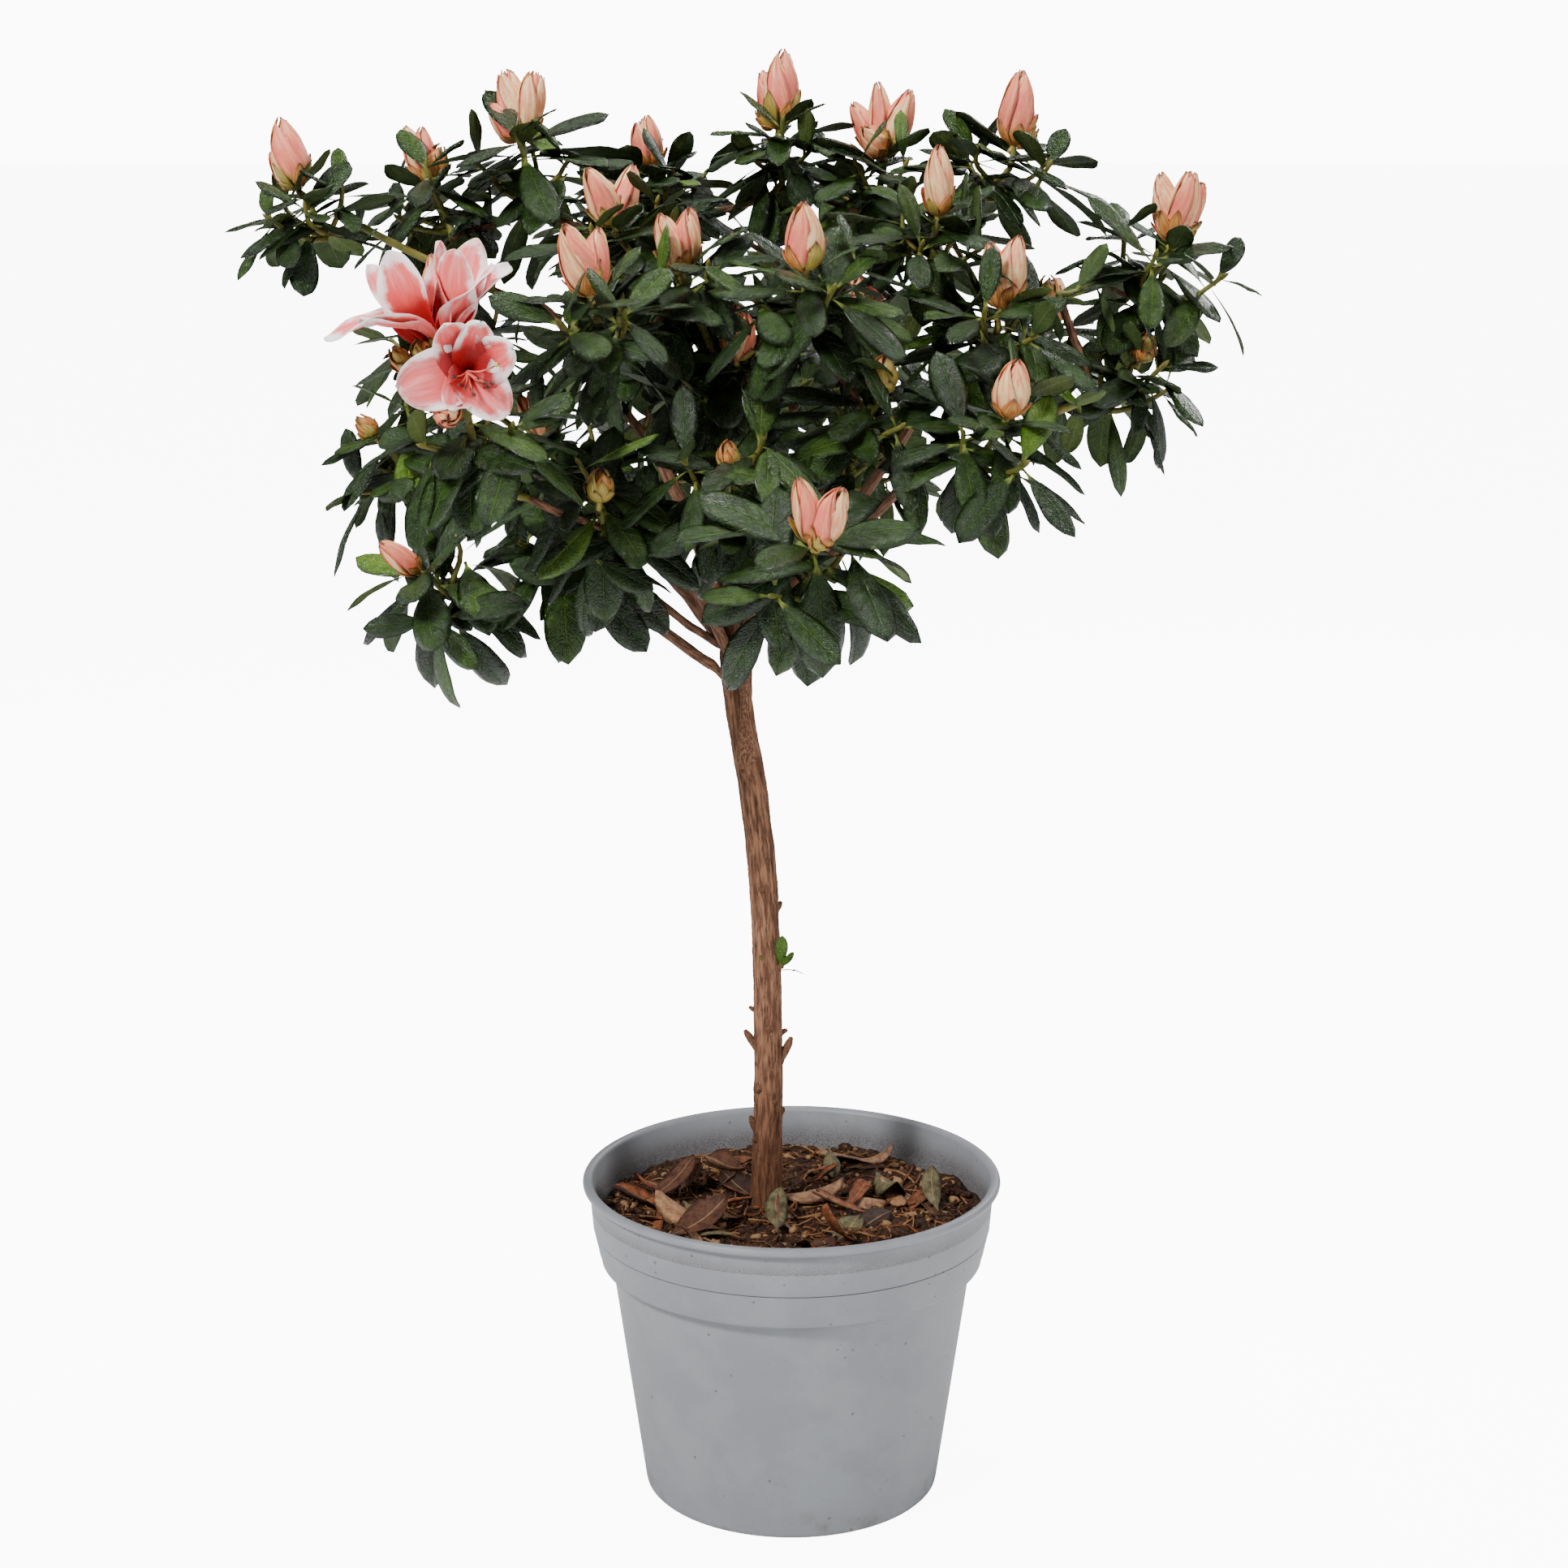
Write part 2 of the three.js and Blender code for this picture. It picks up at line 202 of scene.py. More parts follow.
def addSheets(heap, grids, thickness, paintUpper, paintUnder, along, across):
    # thin closed sheets: each grid of middle points gets an upper and an under face that share
    # their edges; paints are one number, or one for each sheet
    count, rows, wide = grids.shape[:3]
    normal = np.cross(np.gradient(grids, axis=1), np.gradient(grids, axis=2))
    normal /= np.maximum(np.linalg.norm(normal, axis=3, keepdims=True), 1e-12)
    full = np.sqrt(np.clip(1 - across**2, 0, 1))[None, None, :, None] * thickness / 2
    full = full * np.ones((1, rows, 1, 1))
    full[:, 0] = full[:, -1] = 0
    upper = (grids + normal * full).reshape(count, -1, 3)
    under = (grids - normal * full)[:, 1:-1, 1:-1].reshape(count, -1, 3)
    upperIndex = np.arange(rows * wide).reshape(rows, wide)
    underIndex = upperIndex.copy()
    underIndex[1:-1, 1:-1] = rows * wide + np.arange((rows - 2) * (wide - 2)).reshape(rows - 2, -1)
    quads = []
    for index, order in ((upperIndex, (3, 2, 1, 0)), (underIndex, (0, 1, 2, 3))):
        corners = [index[:-1, :-1], index[:-1, 1:], index[1:, 1:], index[1:, :-1]]
        quads.append(np.stack([corners[k].ravel() for k in order], 1))
    u = np.repeat(along, wide).reshape(rows, wide)
    v = np.tile((across + 1) / 2, (rows, 1))
    both = np.stack([u, v], 2)
    flat = np.concatenate([both.reshape(-1, 2), both[1:-1, 1:-1].reshape(-1, 2)])
    each = np.concatenate(quads)
    perSheet = rows * wide + (rows - 2) * (wide - 2)
    faces = (each[None] + (np.arange(count) * perSheet)[:, None, None]).reshape(-1, 4)
    shares = np.tile(flat[each], (count, 1, 1))
    side = np.repeat([0, 1], len(quads[0]))
    pair = np.stack([np.broadcast_to(paintUpper, count), np.broadcast_to(paintUnder, count)], 1)
    heap.add(np.concatenate([upper, under], 1).reshape(-1, 3), faces, shares, pair[:, side].ravel())


# Shader building blocks

def put(tree, kind, **settings):
    # a node with its settings; a setting that names an input gives it a value or a link
    made = tree.nodes.new("ShaderNode" + kind)
    feeds = settings.pop("feeds", {})
    for key, value in settings.items():
        setattr(made, key, value)
    for key, value in feeds.items():
        socket = made.inputs[key]
        if isinstance(value, bpy.types.NodeSocket):
            tree.links.new(value, socket)
        else:
            socket.default_value = value
    return made


def maths(tree, operation, *values, clamp=False):
    made = put(tree, "Math", operation=operation, use_clamp=clamp, feeds=dict(enumerate(values)))
    return made.outputs[0]


def ramp(tree, value, low, high, toLow=0.0, toHigh=1.0):
    feeds = {"Value": value, "From Min": low, "From Max": high, "To Min": toLow, "To Max": toHigh}
    return put(tree, "MapRange", interpolation_type="SMOOTHSTEP", feeds=feeds).outputs[0]


def mixed(tree, share, a, b, blend="MIX"):
    made = tree.nodes.new("ShaderNodeMix")
    made.data_type = "RGBA"
    made.blend_type = blend
    for index, value in ((0, share), (6, a), (7, b)):
        if isinstance(value, bpy.types.NodeSocket):
            tree.links.new(value, made.inputs[index])
        else:
            made.inputs[index].default_value = value
    return made.outputs[2]


def rgb(red, green, blue):
    # a colour as it is seen on a screen, 0 to 255, made linear
    linear = [((c / 255 + 0.055) / 1.055)**2.4 if c > 10 else c / 255 / 12.92
              for c in (red, green, blue)]
    return (*linear, 1.0)


def newGroup(name, inputs, outputs):
    tree = bpy.data.node_groups.new(name, "ShaderNodeTree")
    kinds = {"float": "NodeSocketFloat", "colour": "NodeSocketColor"}
    for label, value in inputs.items():
        kind = "colour" if isinstance(value, tuple) else "float"
        socket = tree.interface.new_socket(label, in_out="INPUT", socket_type=kinds[kind])
        socket.default_value = value
    for label, kind in outputs.items():
        tree.interface.new_socket(label, in_out="OUTPUT", socket_type=kinds[kind])
    return tree, tree.nodes.new("NodeGroupInput").outputs, tree.nodes.new("NodeGroupOutput").inputs


def useGroup(tree, group, **values):
    made = tree.nodes.new("ShaderNodeGroup")
    made.node_tree = group
    for label, value in values.items():
        socket = made.inputs[label.replace("_", " ")]
        if isinstance(value, bpy.types.NodeSocket):
            tree.links.new(value, socket)
        else:
            socket.default_value = value
    return made.outputs


def newMaterial(name, **shader):
    material = bpy.data.materials.new(name)
    material.use_nodes = True
    tree = material.node_tree
    principled = tree.nodes["Principled BSDF"]
    for label, value in shader.items():
        principled.inputs[label.replace("_", " ")].default_value = value
    return material, tree, principled.inputs


def bumpTo(tree, target, height, depth, strength=1.0):
    feeds = {"Height": height, "Distance": depth * mm, "Strength": strength}
    tree.links.new(put(tree, "Bump", feeds=feeds).outputs[0], target)


def placeVector(tree, x=1.0, y=1.0, z=1.0):
    # where a point is on the plant, in millimetres times the given stretch
    place = put(tree, "TexCoord").outputs["Object"]
    scale = (1000 * x, 1000 * y, 1000 * z)
    return put(tree, "VectorMath", operation="MULTIPLY", feeds={0: place, 1: scale}).outputs[0]


def shapeShares(tree):
    # how far along and how far across its own shape a point is, from 0 to 1
    split = put(tree, "SeparateXYZ", feeds={0: put(tree, "UVMap", uv_map="shape").outputs[0]})
    return split.outputs[0], split.outputs[1]


def makeGrainGroup():
    # even, fine unevenness for bumps and roughness
    tree, given, out = newGroup("fineGrain", {"Size": 1.0, "Rough": 0.6}, {"Grain": "float"})
    scale = maths(tree, "DIVIDE", 1.0, given["Size"])
    feeds = {"Vector": placeVector(tree), "Scale": scale, "Detail": 4.0, "Roughness": given["Rough"]}
    tree.links.new(put(tree, "TexNoise", feeds=feeds).outputs[0], out["Grain"])
    return tree


def makeSpeckGroup():
    # scattered specks: dirt on the pot, pale bits in the compost, and painted glints on the leaves
    tree, given, out = newGroup("specks", {"Size": 2.0, "Amount": 0.2}, {"Specks": "float"})
    scale = maths(tree, "DIVIDE", 1.0, given["Size"])
    feeds = {"Vector": placeVector(tree), "Scale": scale}
    cell = put(tree, "TexVoronoi", feeds=feeds)
    spot = ramp(tree, cell.outputs["Distance"], 0.12, 0.3, 1.0, 0.0)
    split = put(tree, "SeparateColor", feeds={0: cell.outputs["Color"]})
    chosen = maths(tree, "LESS_THAN", split.outputs[0], given["Amount"])
    tree.links.new(maths(tree, "MULTIPLY", spot, chosen), out["Specks"])
    return tree


def makeVeinGroup():
    # midrib, side veins and the net between them
    inputs = {"Pairs": 7.0, "Sweep": 1.7, "Net": 1.0}
    tree, given, out = newGroup("leafVeins", inputs, {"Midrib": "float", "Veins": "float"})
    along, across = shapeShares(tree)
    away = maths(tree, "MULTIPLY", maths(tree, "ABSOLUTE", maths(tree, "SUBTRACT", across, 0.5)), 2.0)
    midrib = ramp(tree, away, 0.015, 0.07, 1.0, 0.0)
    lean = maths(tree, "MULTIPLY", away, given["Sweep"])
    phase = maths(tree, "SUBTRACT", maths(tree, "MULTIPLY", along, given["Pairs"]), lean)
    saw = maths(tree, "PINGPONG", phase, 0.5)
    side = ramp(tree, saw, 0.0, 0.1, 1.0, 0.0)
    fade = ramp(tree, away, 0.75, 1.0, 1.0, 0.0)
    side = maths(tree, "MULTIPLY", side, fade)
    flat = put(tree, "CombineXYZ", feeds={0: maths(tree, "MULTIPLY", along, 17.0),
                                          1: maths(tree, "MULTIPLY", across, 9.0)}).outputs[0]
    cells = put(tree, "TexVoronoi", feature="DISTANCE_TO_EDGE", feeds={"Vector": flat, "Scale": 1.0})
    net = ramp(tree, cells.outputs["Distance"], 0.0, 0.12, 1.0, 0.0)
    net = maths(tree, "MULTIPLY", maths(tree, "MULTIPLY", net, 0.55), given["Net"])
    tree.links.new(midrib, out["Midrib"])
    tree.links.new(maths(tree, "MAXIMUM", side, net), out["Veins"])
    return tree


def makeStreakGroup():
    # uneven streaks that run the length of a shape, for petals, buds and scales
    tree, given, out = newGroup("lengthStreaks", {"Count": 9.0, "Wander": 1.6}, {"Streaks": "float"})
    along, across = shapeShares(tree)
    vector = put(tree, "CombineXYZ", feeds={0: maths(tree, "MULTIPLY", along, given["Wander"]),
                                            1: maths(tree, "MULTIPLY", across, given["Count"])})
    feeds = {"Vector": vector.outputs[0], "Scale": 1.0, "Detail": 3.0, "Roughness": 0.65}
    tree.links.new(put(tree, "TexNoise", feeds=feeds).outputs[0], out["Streaks"])
    return tree


def makeBarkGroup():
    # plates and cracks that run along a limb, joined up all the way round it
    inputs = {"Count": 20.0, "Wander": 20.0}
    tree, given, out = newGroup("barkStreaks", inputs, {"Plates": "float", "Cracks": "float"})
    along, across = shapeShares(tree)
    angle = maths(tree, "MULTIPLY", across, 2 * math.pi)
    reach = maths(tree, "DIVIDE", given["Count"], 2 * math.pi)
    x = maths(tree, "MULTIPLY", maths(tree, "COSINE", angle), reach)
    y = maths(tree, "MULTIPLY", maths(tree, "SINE", angle), reach)
    z = maths(tree, "MULTIPLY", along, given["Wander"])
    vector = put(tree, "CombineXYZ", feeds={0: x, 1: y, 2: z}).outputs[0]
    plates = put(tree, "TexNoise", feeds={"Vector": vector, "Scale": 1.0, "Detail": 4.0})
    fine = put(tree, "TexNoise", feeds={"Vector": vector, "Scale": 2.1, "Detail": 3.0, "Roughness": 0.6})
    tree.links.new(plates.outputs[0], out["Plates"])
    tree.links.new(ramp(tree, fine.outputs[0], 0.46, 0.3), out["Cracks"])
    return tree


grainGroup = makeGrainGroup()
speckGroup = makeSpeckGroup()
veinGroup = makeVeinGroup()
streakGroup = makeStreakGroup()
barkGroup = makeBarkGroup()
print("shader groups built")


# Pot

pot = {
    "colour": rgb(131, 133, 138),
    "worn": rgb(142, 145, 149),
    "dust": rgb(66, 48, 38),
    "segments": 144,
    "wall": 1.5,
    "collarLedge": (69.4, 85.0, 91.0),  # radius and heights of the step under the collar
    "shoulder": 64.5,
    "base": 53.0,
    "neck": (72.2, 104.5),
    "lipRoll": 1.7,
    "groove": 97.6,  # the fine mould line round the collar
    "grooveDepth": 0.55,
    "holes": {"count": 6, "radius": 3.5, "circle": 38.0},
    "floor": 2.4,
}


def makePotPlastic():
    material, tree, shader = newMaterial("potPlastic", Roughness=0.46, Specular_IOR_Level=0.42)
    grain = useGroup(tree, grainGroup, Size=0.45)["Grain"]
    cloud = useGroup(tree, grainGroup, Size=22.0)["Grain"]
    dirt = useGroup(tree, speckGroup, Size=2.6, Amount=0.035)["Specks"]
    fine = useGroup(tree, speckGroup, Size=1.1, Amount=0.03)["Specks"]
    place = put(tree, "SeparateXYZ", feeds={0: placeVector(tree)}).outputs
    height = place[2]
    patch = ramp(tree, cloud, 0.4, 0.62)
    shade = mixed(tree, maths(tree, "MULTIPLY", patch, 0.6), pot["colour"], pot["worn"])
    # soil splashes are thick just above the compost on the inside wall, and the outside is darker in patches
    # towards the foot
    reach = maths(tree, "SQRT", maths(tree, "ADD", maths(tree, "POWER", place[0], 2.0),
                                      maths(tree, "POWER", place[1], 2.0)))
    wallMiddle = maths(tree, "MULTIPLY_ADD", height, 0.1565, 55.1)
    inner = maths(tree, "MULTIPLY", maths(tree, "LESS_THAN", reach, wallMiddle),
                  maths(tree, "GREATER_THAN", height, 97.0))
    splash = maths(tree, "MULTIPLY", inner, ramp(tree, height, 113.0, 102.0))
    grime = maths(tree, "MULTIPLY", splash, ramp(tree, grain, 0.35, 0.62, 0.15, 0.75))
    foot = maths(tree, "MULTIPLY", ramp(tree, height, 0.0, 16.0, 0.5, 0.0), ramp(tree, cloud, 0.48, 0.66))
    inSplash = maths(tree, "MULTIPLY", fine, maths(tree, "ADD", 0.35, splash))
    marks = maths(tree, "MAXIMUM", maths(tree, "MAXIMUM", maths(tree, "MULTIPLY", dirt, 0.6), inSplash),
                  maths(tree, "MAXIMUM", grime, foot))
    tree.links.new(mixed(tree, marks, shade, pot["dust"]), shader["Base Color"])
    tree.links.new(ramp(tree, cloud, 0.2, 0.8, 0.4, 0.56), shader["Roughness"])
    bumpTo(tree, shader["Normal"], grain, 0.035, 0.5)
    return material


def lathe(heap, profile, segments, paint=0):
    # a closed profile of (radius, height) turned about the upright axis
    profile = np.asarray(profile, float) * mm
    turn = np.linspace(0, 2 * math.pi, segments, endpoint=False)
    rings = [np.column_stack([r * np.cos(turn), r * np.sin(turn), np.full(segments, z)])
             for r, z in profile]
    points = np.vstack(rings + [[[0, 0, profile[0][1]]], [[0, 0, profile[-1][1]]]])
    rows = len(rings) - 1
    faces, shares = gridFaces(rows, segments, wrap=True)
    heap.add(points, faces[:, ::-1], shares[:, ::-1], paint)
    j = np.arange(segments)
    k = (j + 1) % segments
    centre = np.full(segments, len(points) - 2)
    heap.more(np.stack([j, centre, k], 1), np.zeros((segments, 3, 2)), paint)
    last = rows * segments
    heap.more(np.stack([last + k, centre + 1, last + j], 1), np.ones((segments, 3, 2)), paint)


def potProfile():
    # from the middle of the underside, up the outside, over the lip and down to the floor inside
    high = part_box("pot")[1]
    lip, top = high.x / mm, high.z / mm
    ledge, ledgeLow, ledgeHigh = pot["collarLedge"]
    neck, neckHeight = pot["neck"]
    base, shoulder, wall = pot["base"], pot["shoulder"], pot["wall"]
    outside = [(0.3, 1.2), (base - 9, 1.2), (base - 8.6, 0.9), (base - 7.9, 0.1), (base - 7.3, 0),
               (base - 2.4, 0), (base - 1.0, 0.35), (base - 0.25, 1.1), (base, 2.2)]
    rise = np.array([0.1, 0.25, 0.4, 0.55, 0.7, 0.85, 0.97, 0.99])
    outside += [(base + (shoulder - base) * t, 2.2 + (ledgeLow - 2.2) * t) for t in rise]
    # the collar's underside steps out level, then turns up over a small round
    outside += [(shoulder + 0.04, ledgeLow), (shoulder + 0.25, ledgeLow + 0.04),
                (shoulder + 3.1, ledgeLow + 0.2), (shoulder + 3.4, ledgeLow + 0.35),
                (shoulder + 3.7, ledgeLow + 0.8), (ledge - 0.9, ledgeLow + 2.6),
                (ledge - 0.3, ledgeLow + 4.4), (ledge, ledgeHigh)]
    lean = (neck - ledge) / (neckHeight - ledgeHigh)
    groove, depth = pot["groove"], pot["grooveDepth"]
    radius = ledge + lean * (groove - ledgeHigh)
    outside += [(radius - 0.03, groove - 0.6), (radius, groove - 0.3), (radius - depth * 0.9, groove - 0.1),
                (radius - depth, groove), (radius + 0.12, groove + 0.12), (radius + 0.25, groove + 0.5)]
    outside += [(neck - 0.3, neckHeight + 4.2), (neck - 0.4, neckHeight + 7.6), (neck, neckHeight + 8.0)]
    # the rolled lip
    roll = pot["lipRoll"]
    for step in range(11):
        angle = math.radians(-90 + 18 * step)
        outside.append((lip - roll * 1.2 + roll * 1.2 * math.cos(angle),
                        top - roll + roll * math.sin(angle)))
    inside = [(neck - wall * 0.2, top - 0.25), (neck - wall * 0.6, top - 0.7), (neck - wall, top - 1.6),
              (neck - wall, neckHeight), (ledge - wall, ledgeHigh), (ledge - wall - 0.8, ledgeLow + 2.2),
              (shoulder - wall, ledgeLow), (base - wall + 0.4, pot["floor"] + 3),
              (base - wall - 1.5, pot["floor"]), (0.3, pot["floor"])]
    return outside + inside


def makePot():
    heap = Heap()
    lathe(heap, potProfile(), pot["segments"])
    shell = heap.build("pot_shell", [makePotPlastic()])
    # drainage holes are bored through the floor
    bores = Heap()
    holes = pot["holes"]
    for i in range(holes["count"]):
        angle = 2 * math.pi * (i + 0.5) / holes["count"]
        middle = np.array([math.cos(angle), math.sin(angle), 0]) * holes["circle"] * mm
        path = [middle + up * z * mm for z in (-2.0, 6.0)]
        addTube(bores, path, holes["radius"] * mm, 24)
    cutter = bores.build("bores", [])
    modifier = shell.modifiers.new("bore", "BOOLEAN")
    modifier.object = cutter
    modifier.operation = "DIFFERENCE"
    modifier.solver = "EXACT"
    bpy.context.view_layer.update()
    evaluated = shell.evaluated_get(bpy.context.evaluated_depsgraph_get())
    shell.data = bpy.data.meshes.new_from_object(evaluated)
    shell.modifiers.clear()
    bpy.data.objects.remove(cutter)
    shell.data.set_sharp_from_angle(angle=math.radians(38))
    return finishPiece(shell, ["pot"])


makePot()
print("pot made")


# Compost, with what has fallen on it

compost = {
    "dark": rgb(34, 20, 11),
    "light": rgb(104, 64, 36),
    "unevenness": 2.2,
    "wallGap": 0.6,
    "rings": 70,
    "segments": 230,
    "crumbs": 900,
    "crumbSize": (0.5, 2.2),
    "fibres": 420,
    "fibreLength": (4, 17),
    "fallenLeaves": 54,
    "fallenLength": (15, 30),
}


def makeCompostMaterial():
    material, tree, shader = newMaterial("peat", Roughness=0.93, Specular_IOR_Level=0.25)
    grain = useGroup(tree, grainGroup, Size=1.3, Rough=0.7)["Grain"]
    cloud = useGroup(tree, grainGroup, Size=9.0)["Grain"]
    bits = useGroup(tree, speckGroup, Size=1.7, Amount=0.22)["Specks"]
    shade = mixed(tree, ramp(tree, grain, 0.42, 0.75), compost["dark"], compost["light"])
    shade = mixed(tree, maths(tree, "MULTIPLY", ramp(tree, cloud, 0.45, 0.7), 0.5), shade, rgb(30, 17, 11))
    tree.links.new(mixed(tree, maths(tree, "MULTIPLY", bits, 0.6), shade, rgb(150, 100, 60)),
                   shader["Base Color"])
    bumpTo(tree, shader["Normal"], grain, 0.7, 0.8)
    return material


def makeDryMaterial(name, first, second, crinkle=0.4):
    # a dead leaf or fibre, mottled between two colours
    material, tree, shader = newMaterial(name, Roughness=0.68, Specular_IOR_Level=0.3)
    mottle = useGroup(tree, grainGroup, Size=3.0, Rough=0.7)["Grain"]
    veins = useGroup(tree, veinGroup, Pairs=8.0, Net=1.0)
    shade = mixed(tree, ramp(tree, mottle, 0.35, 0.68), first, second)
    tree.links.new(mixed(tree, maths(tree, "MULTIPLY", veins["Midrib"], 0.4), shade, rgb(190, 150, 105)),
                   shader["Base Color"])
    height = maths(tree, "ADD", maths(tree, "MULTIPLY", veins["Veins"], -0.5), mottle)
    bumpTo(tree, shader["Normal"], height, crinkle, 0.7)
    return material


def compostHeight(x, y, edge):
    # height over the compost at a place in millimetres, with a rim that sinks at the pot
    reach = np.hypot(x, y)
    rough = np.array([noise.fractal(Vector((a * 0.09, b * 0.09, 3.7)), 1.0, 2.1, 4)
                      for a, b in zip(np.ravel(x), np.ravel(y))]).reshape(np.shape(x))
    calm = blendStep(7, 14, np.hypot(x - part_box("stem")[0].x / mm - 5, y))
    fall = blendStep(edge - 12, edge, reach) * 3.0
    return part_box("soil")[1].z / mm - 1.6 - fall + compost["unevenness"] * rough * (0.35 + 0.65 * calm)


def makeCompost():
    low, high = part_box("soil")
    edge, bottom = high.x / mm, low.z / mm
    rows, columns = compost["rings"], compost["segments"]
    reach = np.linspace(0.6, edge, rows)
    turn = np.linspace(0, 2 * math.pi, columns, endpoint=False)
    x, y = np.outer(reach, np.cos(turn)), np.outer(reach, np.sin(turn))
    z = compostHeight(x, y, edge)
    rings = [np.stack([x, y, z], 2)]
    # below its surface the compost narrows with the inside of the pot
    ledge, ledgeLow, ledgeHigh = pot["collarLedge"]
    gap = pot["wall"] + compost["wallGap"]
    for radius, height in ((ledge - gap, ledgeHigh + 1), (pot["shoulder"] - gap, ledgeLow - 0.5),
                           (pot["base"] - gap, bottom + 1)):
        wall = np.stack([radius * np.cos(turn), radius * np.sin(turn), np.full(columns, height)], 1)
        rings.append(wall[None])
    grid = np.concatenate(rings)
    count = len(grid) - 1
    points = np.vstack([grid.reshape(-1, 3), [[0, 0, z[0].mean()], [0, 0, bottom + 1]]]) * mm
    faces, shares = gridFaces(count, columns, wrap=True)
    heap = Heap()
    heap.add(points, faces[:, ::-1], shares[:, ::-1])
    j = np.arange(columns)
    k = (j + 1) % columns
    middle = np.full(columns, len(points) - 2)
    heap.more(np.stack([middle, j, k], 1), np.zeros((columns, 3, 2)), 0)
    last = count * columns
    heap.more(np.stack([last + k, last + j, middle + 1], 1), np.ones((columns, 3, 2)), 0)
    soil = heap.build("compost_surface", [makeCompostMaterial()])
    return finishPiece(soil, ["soil"]), edge


def lumpPoints():
    # one small round lump as points and triangles
    bpy.ops.mesh.primitive_ico_sphere_add(subdivisions=2, radius=1)
    ball = bpy.context.object
    points = np.array([v.co[:] for v in ball.data.vertices])
    faces = np.array([p.vertices[:] for p in ball.data.polygons])
    bpy.data.objects.remove(ball)
    return points, faces


def makeLitter(edge):
    heap = Heap()
    points, faces = lumpPoints()
    shares = np.zeros((len(faces), 3, 2)) + 0.5
    for i in range(compost["crumbs"]):
        reach, turn = (edge - 2) * math.sqrt(random.random()), random.uniform(0, 2 * math.pi)
        x, y = reach * math.cos(turn), reach * math.sin(turn)
        if math.hypot(x + 9, y) < 8:
            continue
        size = random.uniform(*compost["crumbSize"]) * random.uniform(0.4, 1)
        stretch = np.array([random.uniform(0.6, 1.5), random.uniform(0.6, 1.3), random.uniform(0.5, 1.0)])
        bumps = np.array([noise.noise(Vector(p * 1.7 + i)) for p in points])[:, None]
        lump = points * (1 + 0.55 * bumps) * stretch * size
        place = np.array([x, y, compostHeight(np.array([x]), np.array([y]), edge)[0] + size * 0.2])
        heap.add((lump + place) * mm, faces, shares, i % 3 // 2)
    for i in range(compost["fibres"]):
        reach, turn = (edge - 6) * math.sqrt(random.random()), random.uniform(0, 2 * math.pi)
        x, y = reach * math.cos(turn), reach * math.sin(turn)
        heading = random.uniform(0, math.pi)
        length = random.uniform(*compost["fibreLength"])
        steps = np.linspace(-0.5, 0.5, 5) * length
        bend = random.uniform(-0.3, 0.3) * length
        px = x + steps * math.cos(heading) - bend * (steps / length)**2 * 4 * math.sin(heading)
        py = y + steps * math.sin(heading) + bend * (steps / length)**2 * 4 * math.cos(heading)
        inside = np.hypot(px, py) < edge - 2
        if not inside.all() or (np.hypot(px + 9, py) < 7).any():
            continue
        pz = compostHeight(px, py, edge) + random.uniform(0.1, 1.0)
        pz += np.abs(np.linspace(-1, 1, 5)) * random.uniform(-0.6, 1.6)
        addTube(heap, np.column_stack([px, py, pz]) * mm, random.uniform(0.12, 0.4) * mm, 5, 1 + i % 3)
    materials = [makeCompostMaterial(),
                 makeDryMaterial("fibreBrown", rgb(96, 58, 34), rgb(60, 34, 20)),
                 makeDryMaterial("fibreStraw", rgb(165, 118, 72), rgb(120, 78, 44)),
                 makeDryMaterial("fibreRust", rgb(140, 78, 40), rgb(84, 45, 25))]
    return finishPiece(heap.build("compost_litter", materials))


# Leaves

leaf = {
    "keepClear": [((-96, -132, 411), 15), ((-98, -126, 430), 15), ((-112, -126, 430), 15),
                  ((-122, -130, 424), 12)],  # room for the open flowers: middle and radius
    "rows": 12,
    "acrossSteps": (-1.0, -0.66, -0.3, 0.0, 0.3, 0.66, 1.0),
    "thickness": 0.34,
    "stalkShare": 0.13,
    "stalkWidth": 1.15,
    "tops": {
        "leafDeep": (rgb(6, 22, 1), rgb(38, 66, 10)),
        "leafMid": (rgb(11, 34, 2), rgb(50, 80, 14)),
        "leafSoft": (rgb(22, 48, 4), rgb(68, 96, 20)),
        "leafFresh": (rgb(52, 88, 14), rgb(112, 140, 42)),
    },
    "unders": {
        "underDull": (rgb(48, 70, 30), rgb(88, 106, 52)),
        "underPale": (rgb(70, 90, 38), rgb(112, 126, 62)),
    },
}


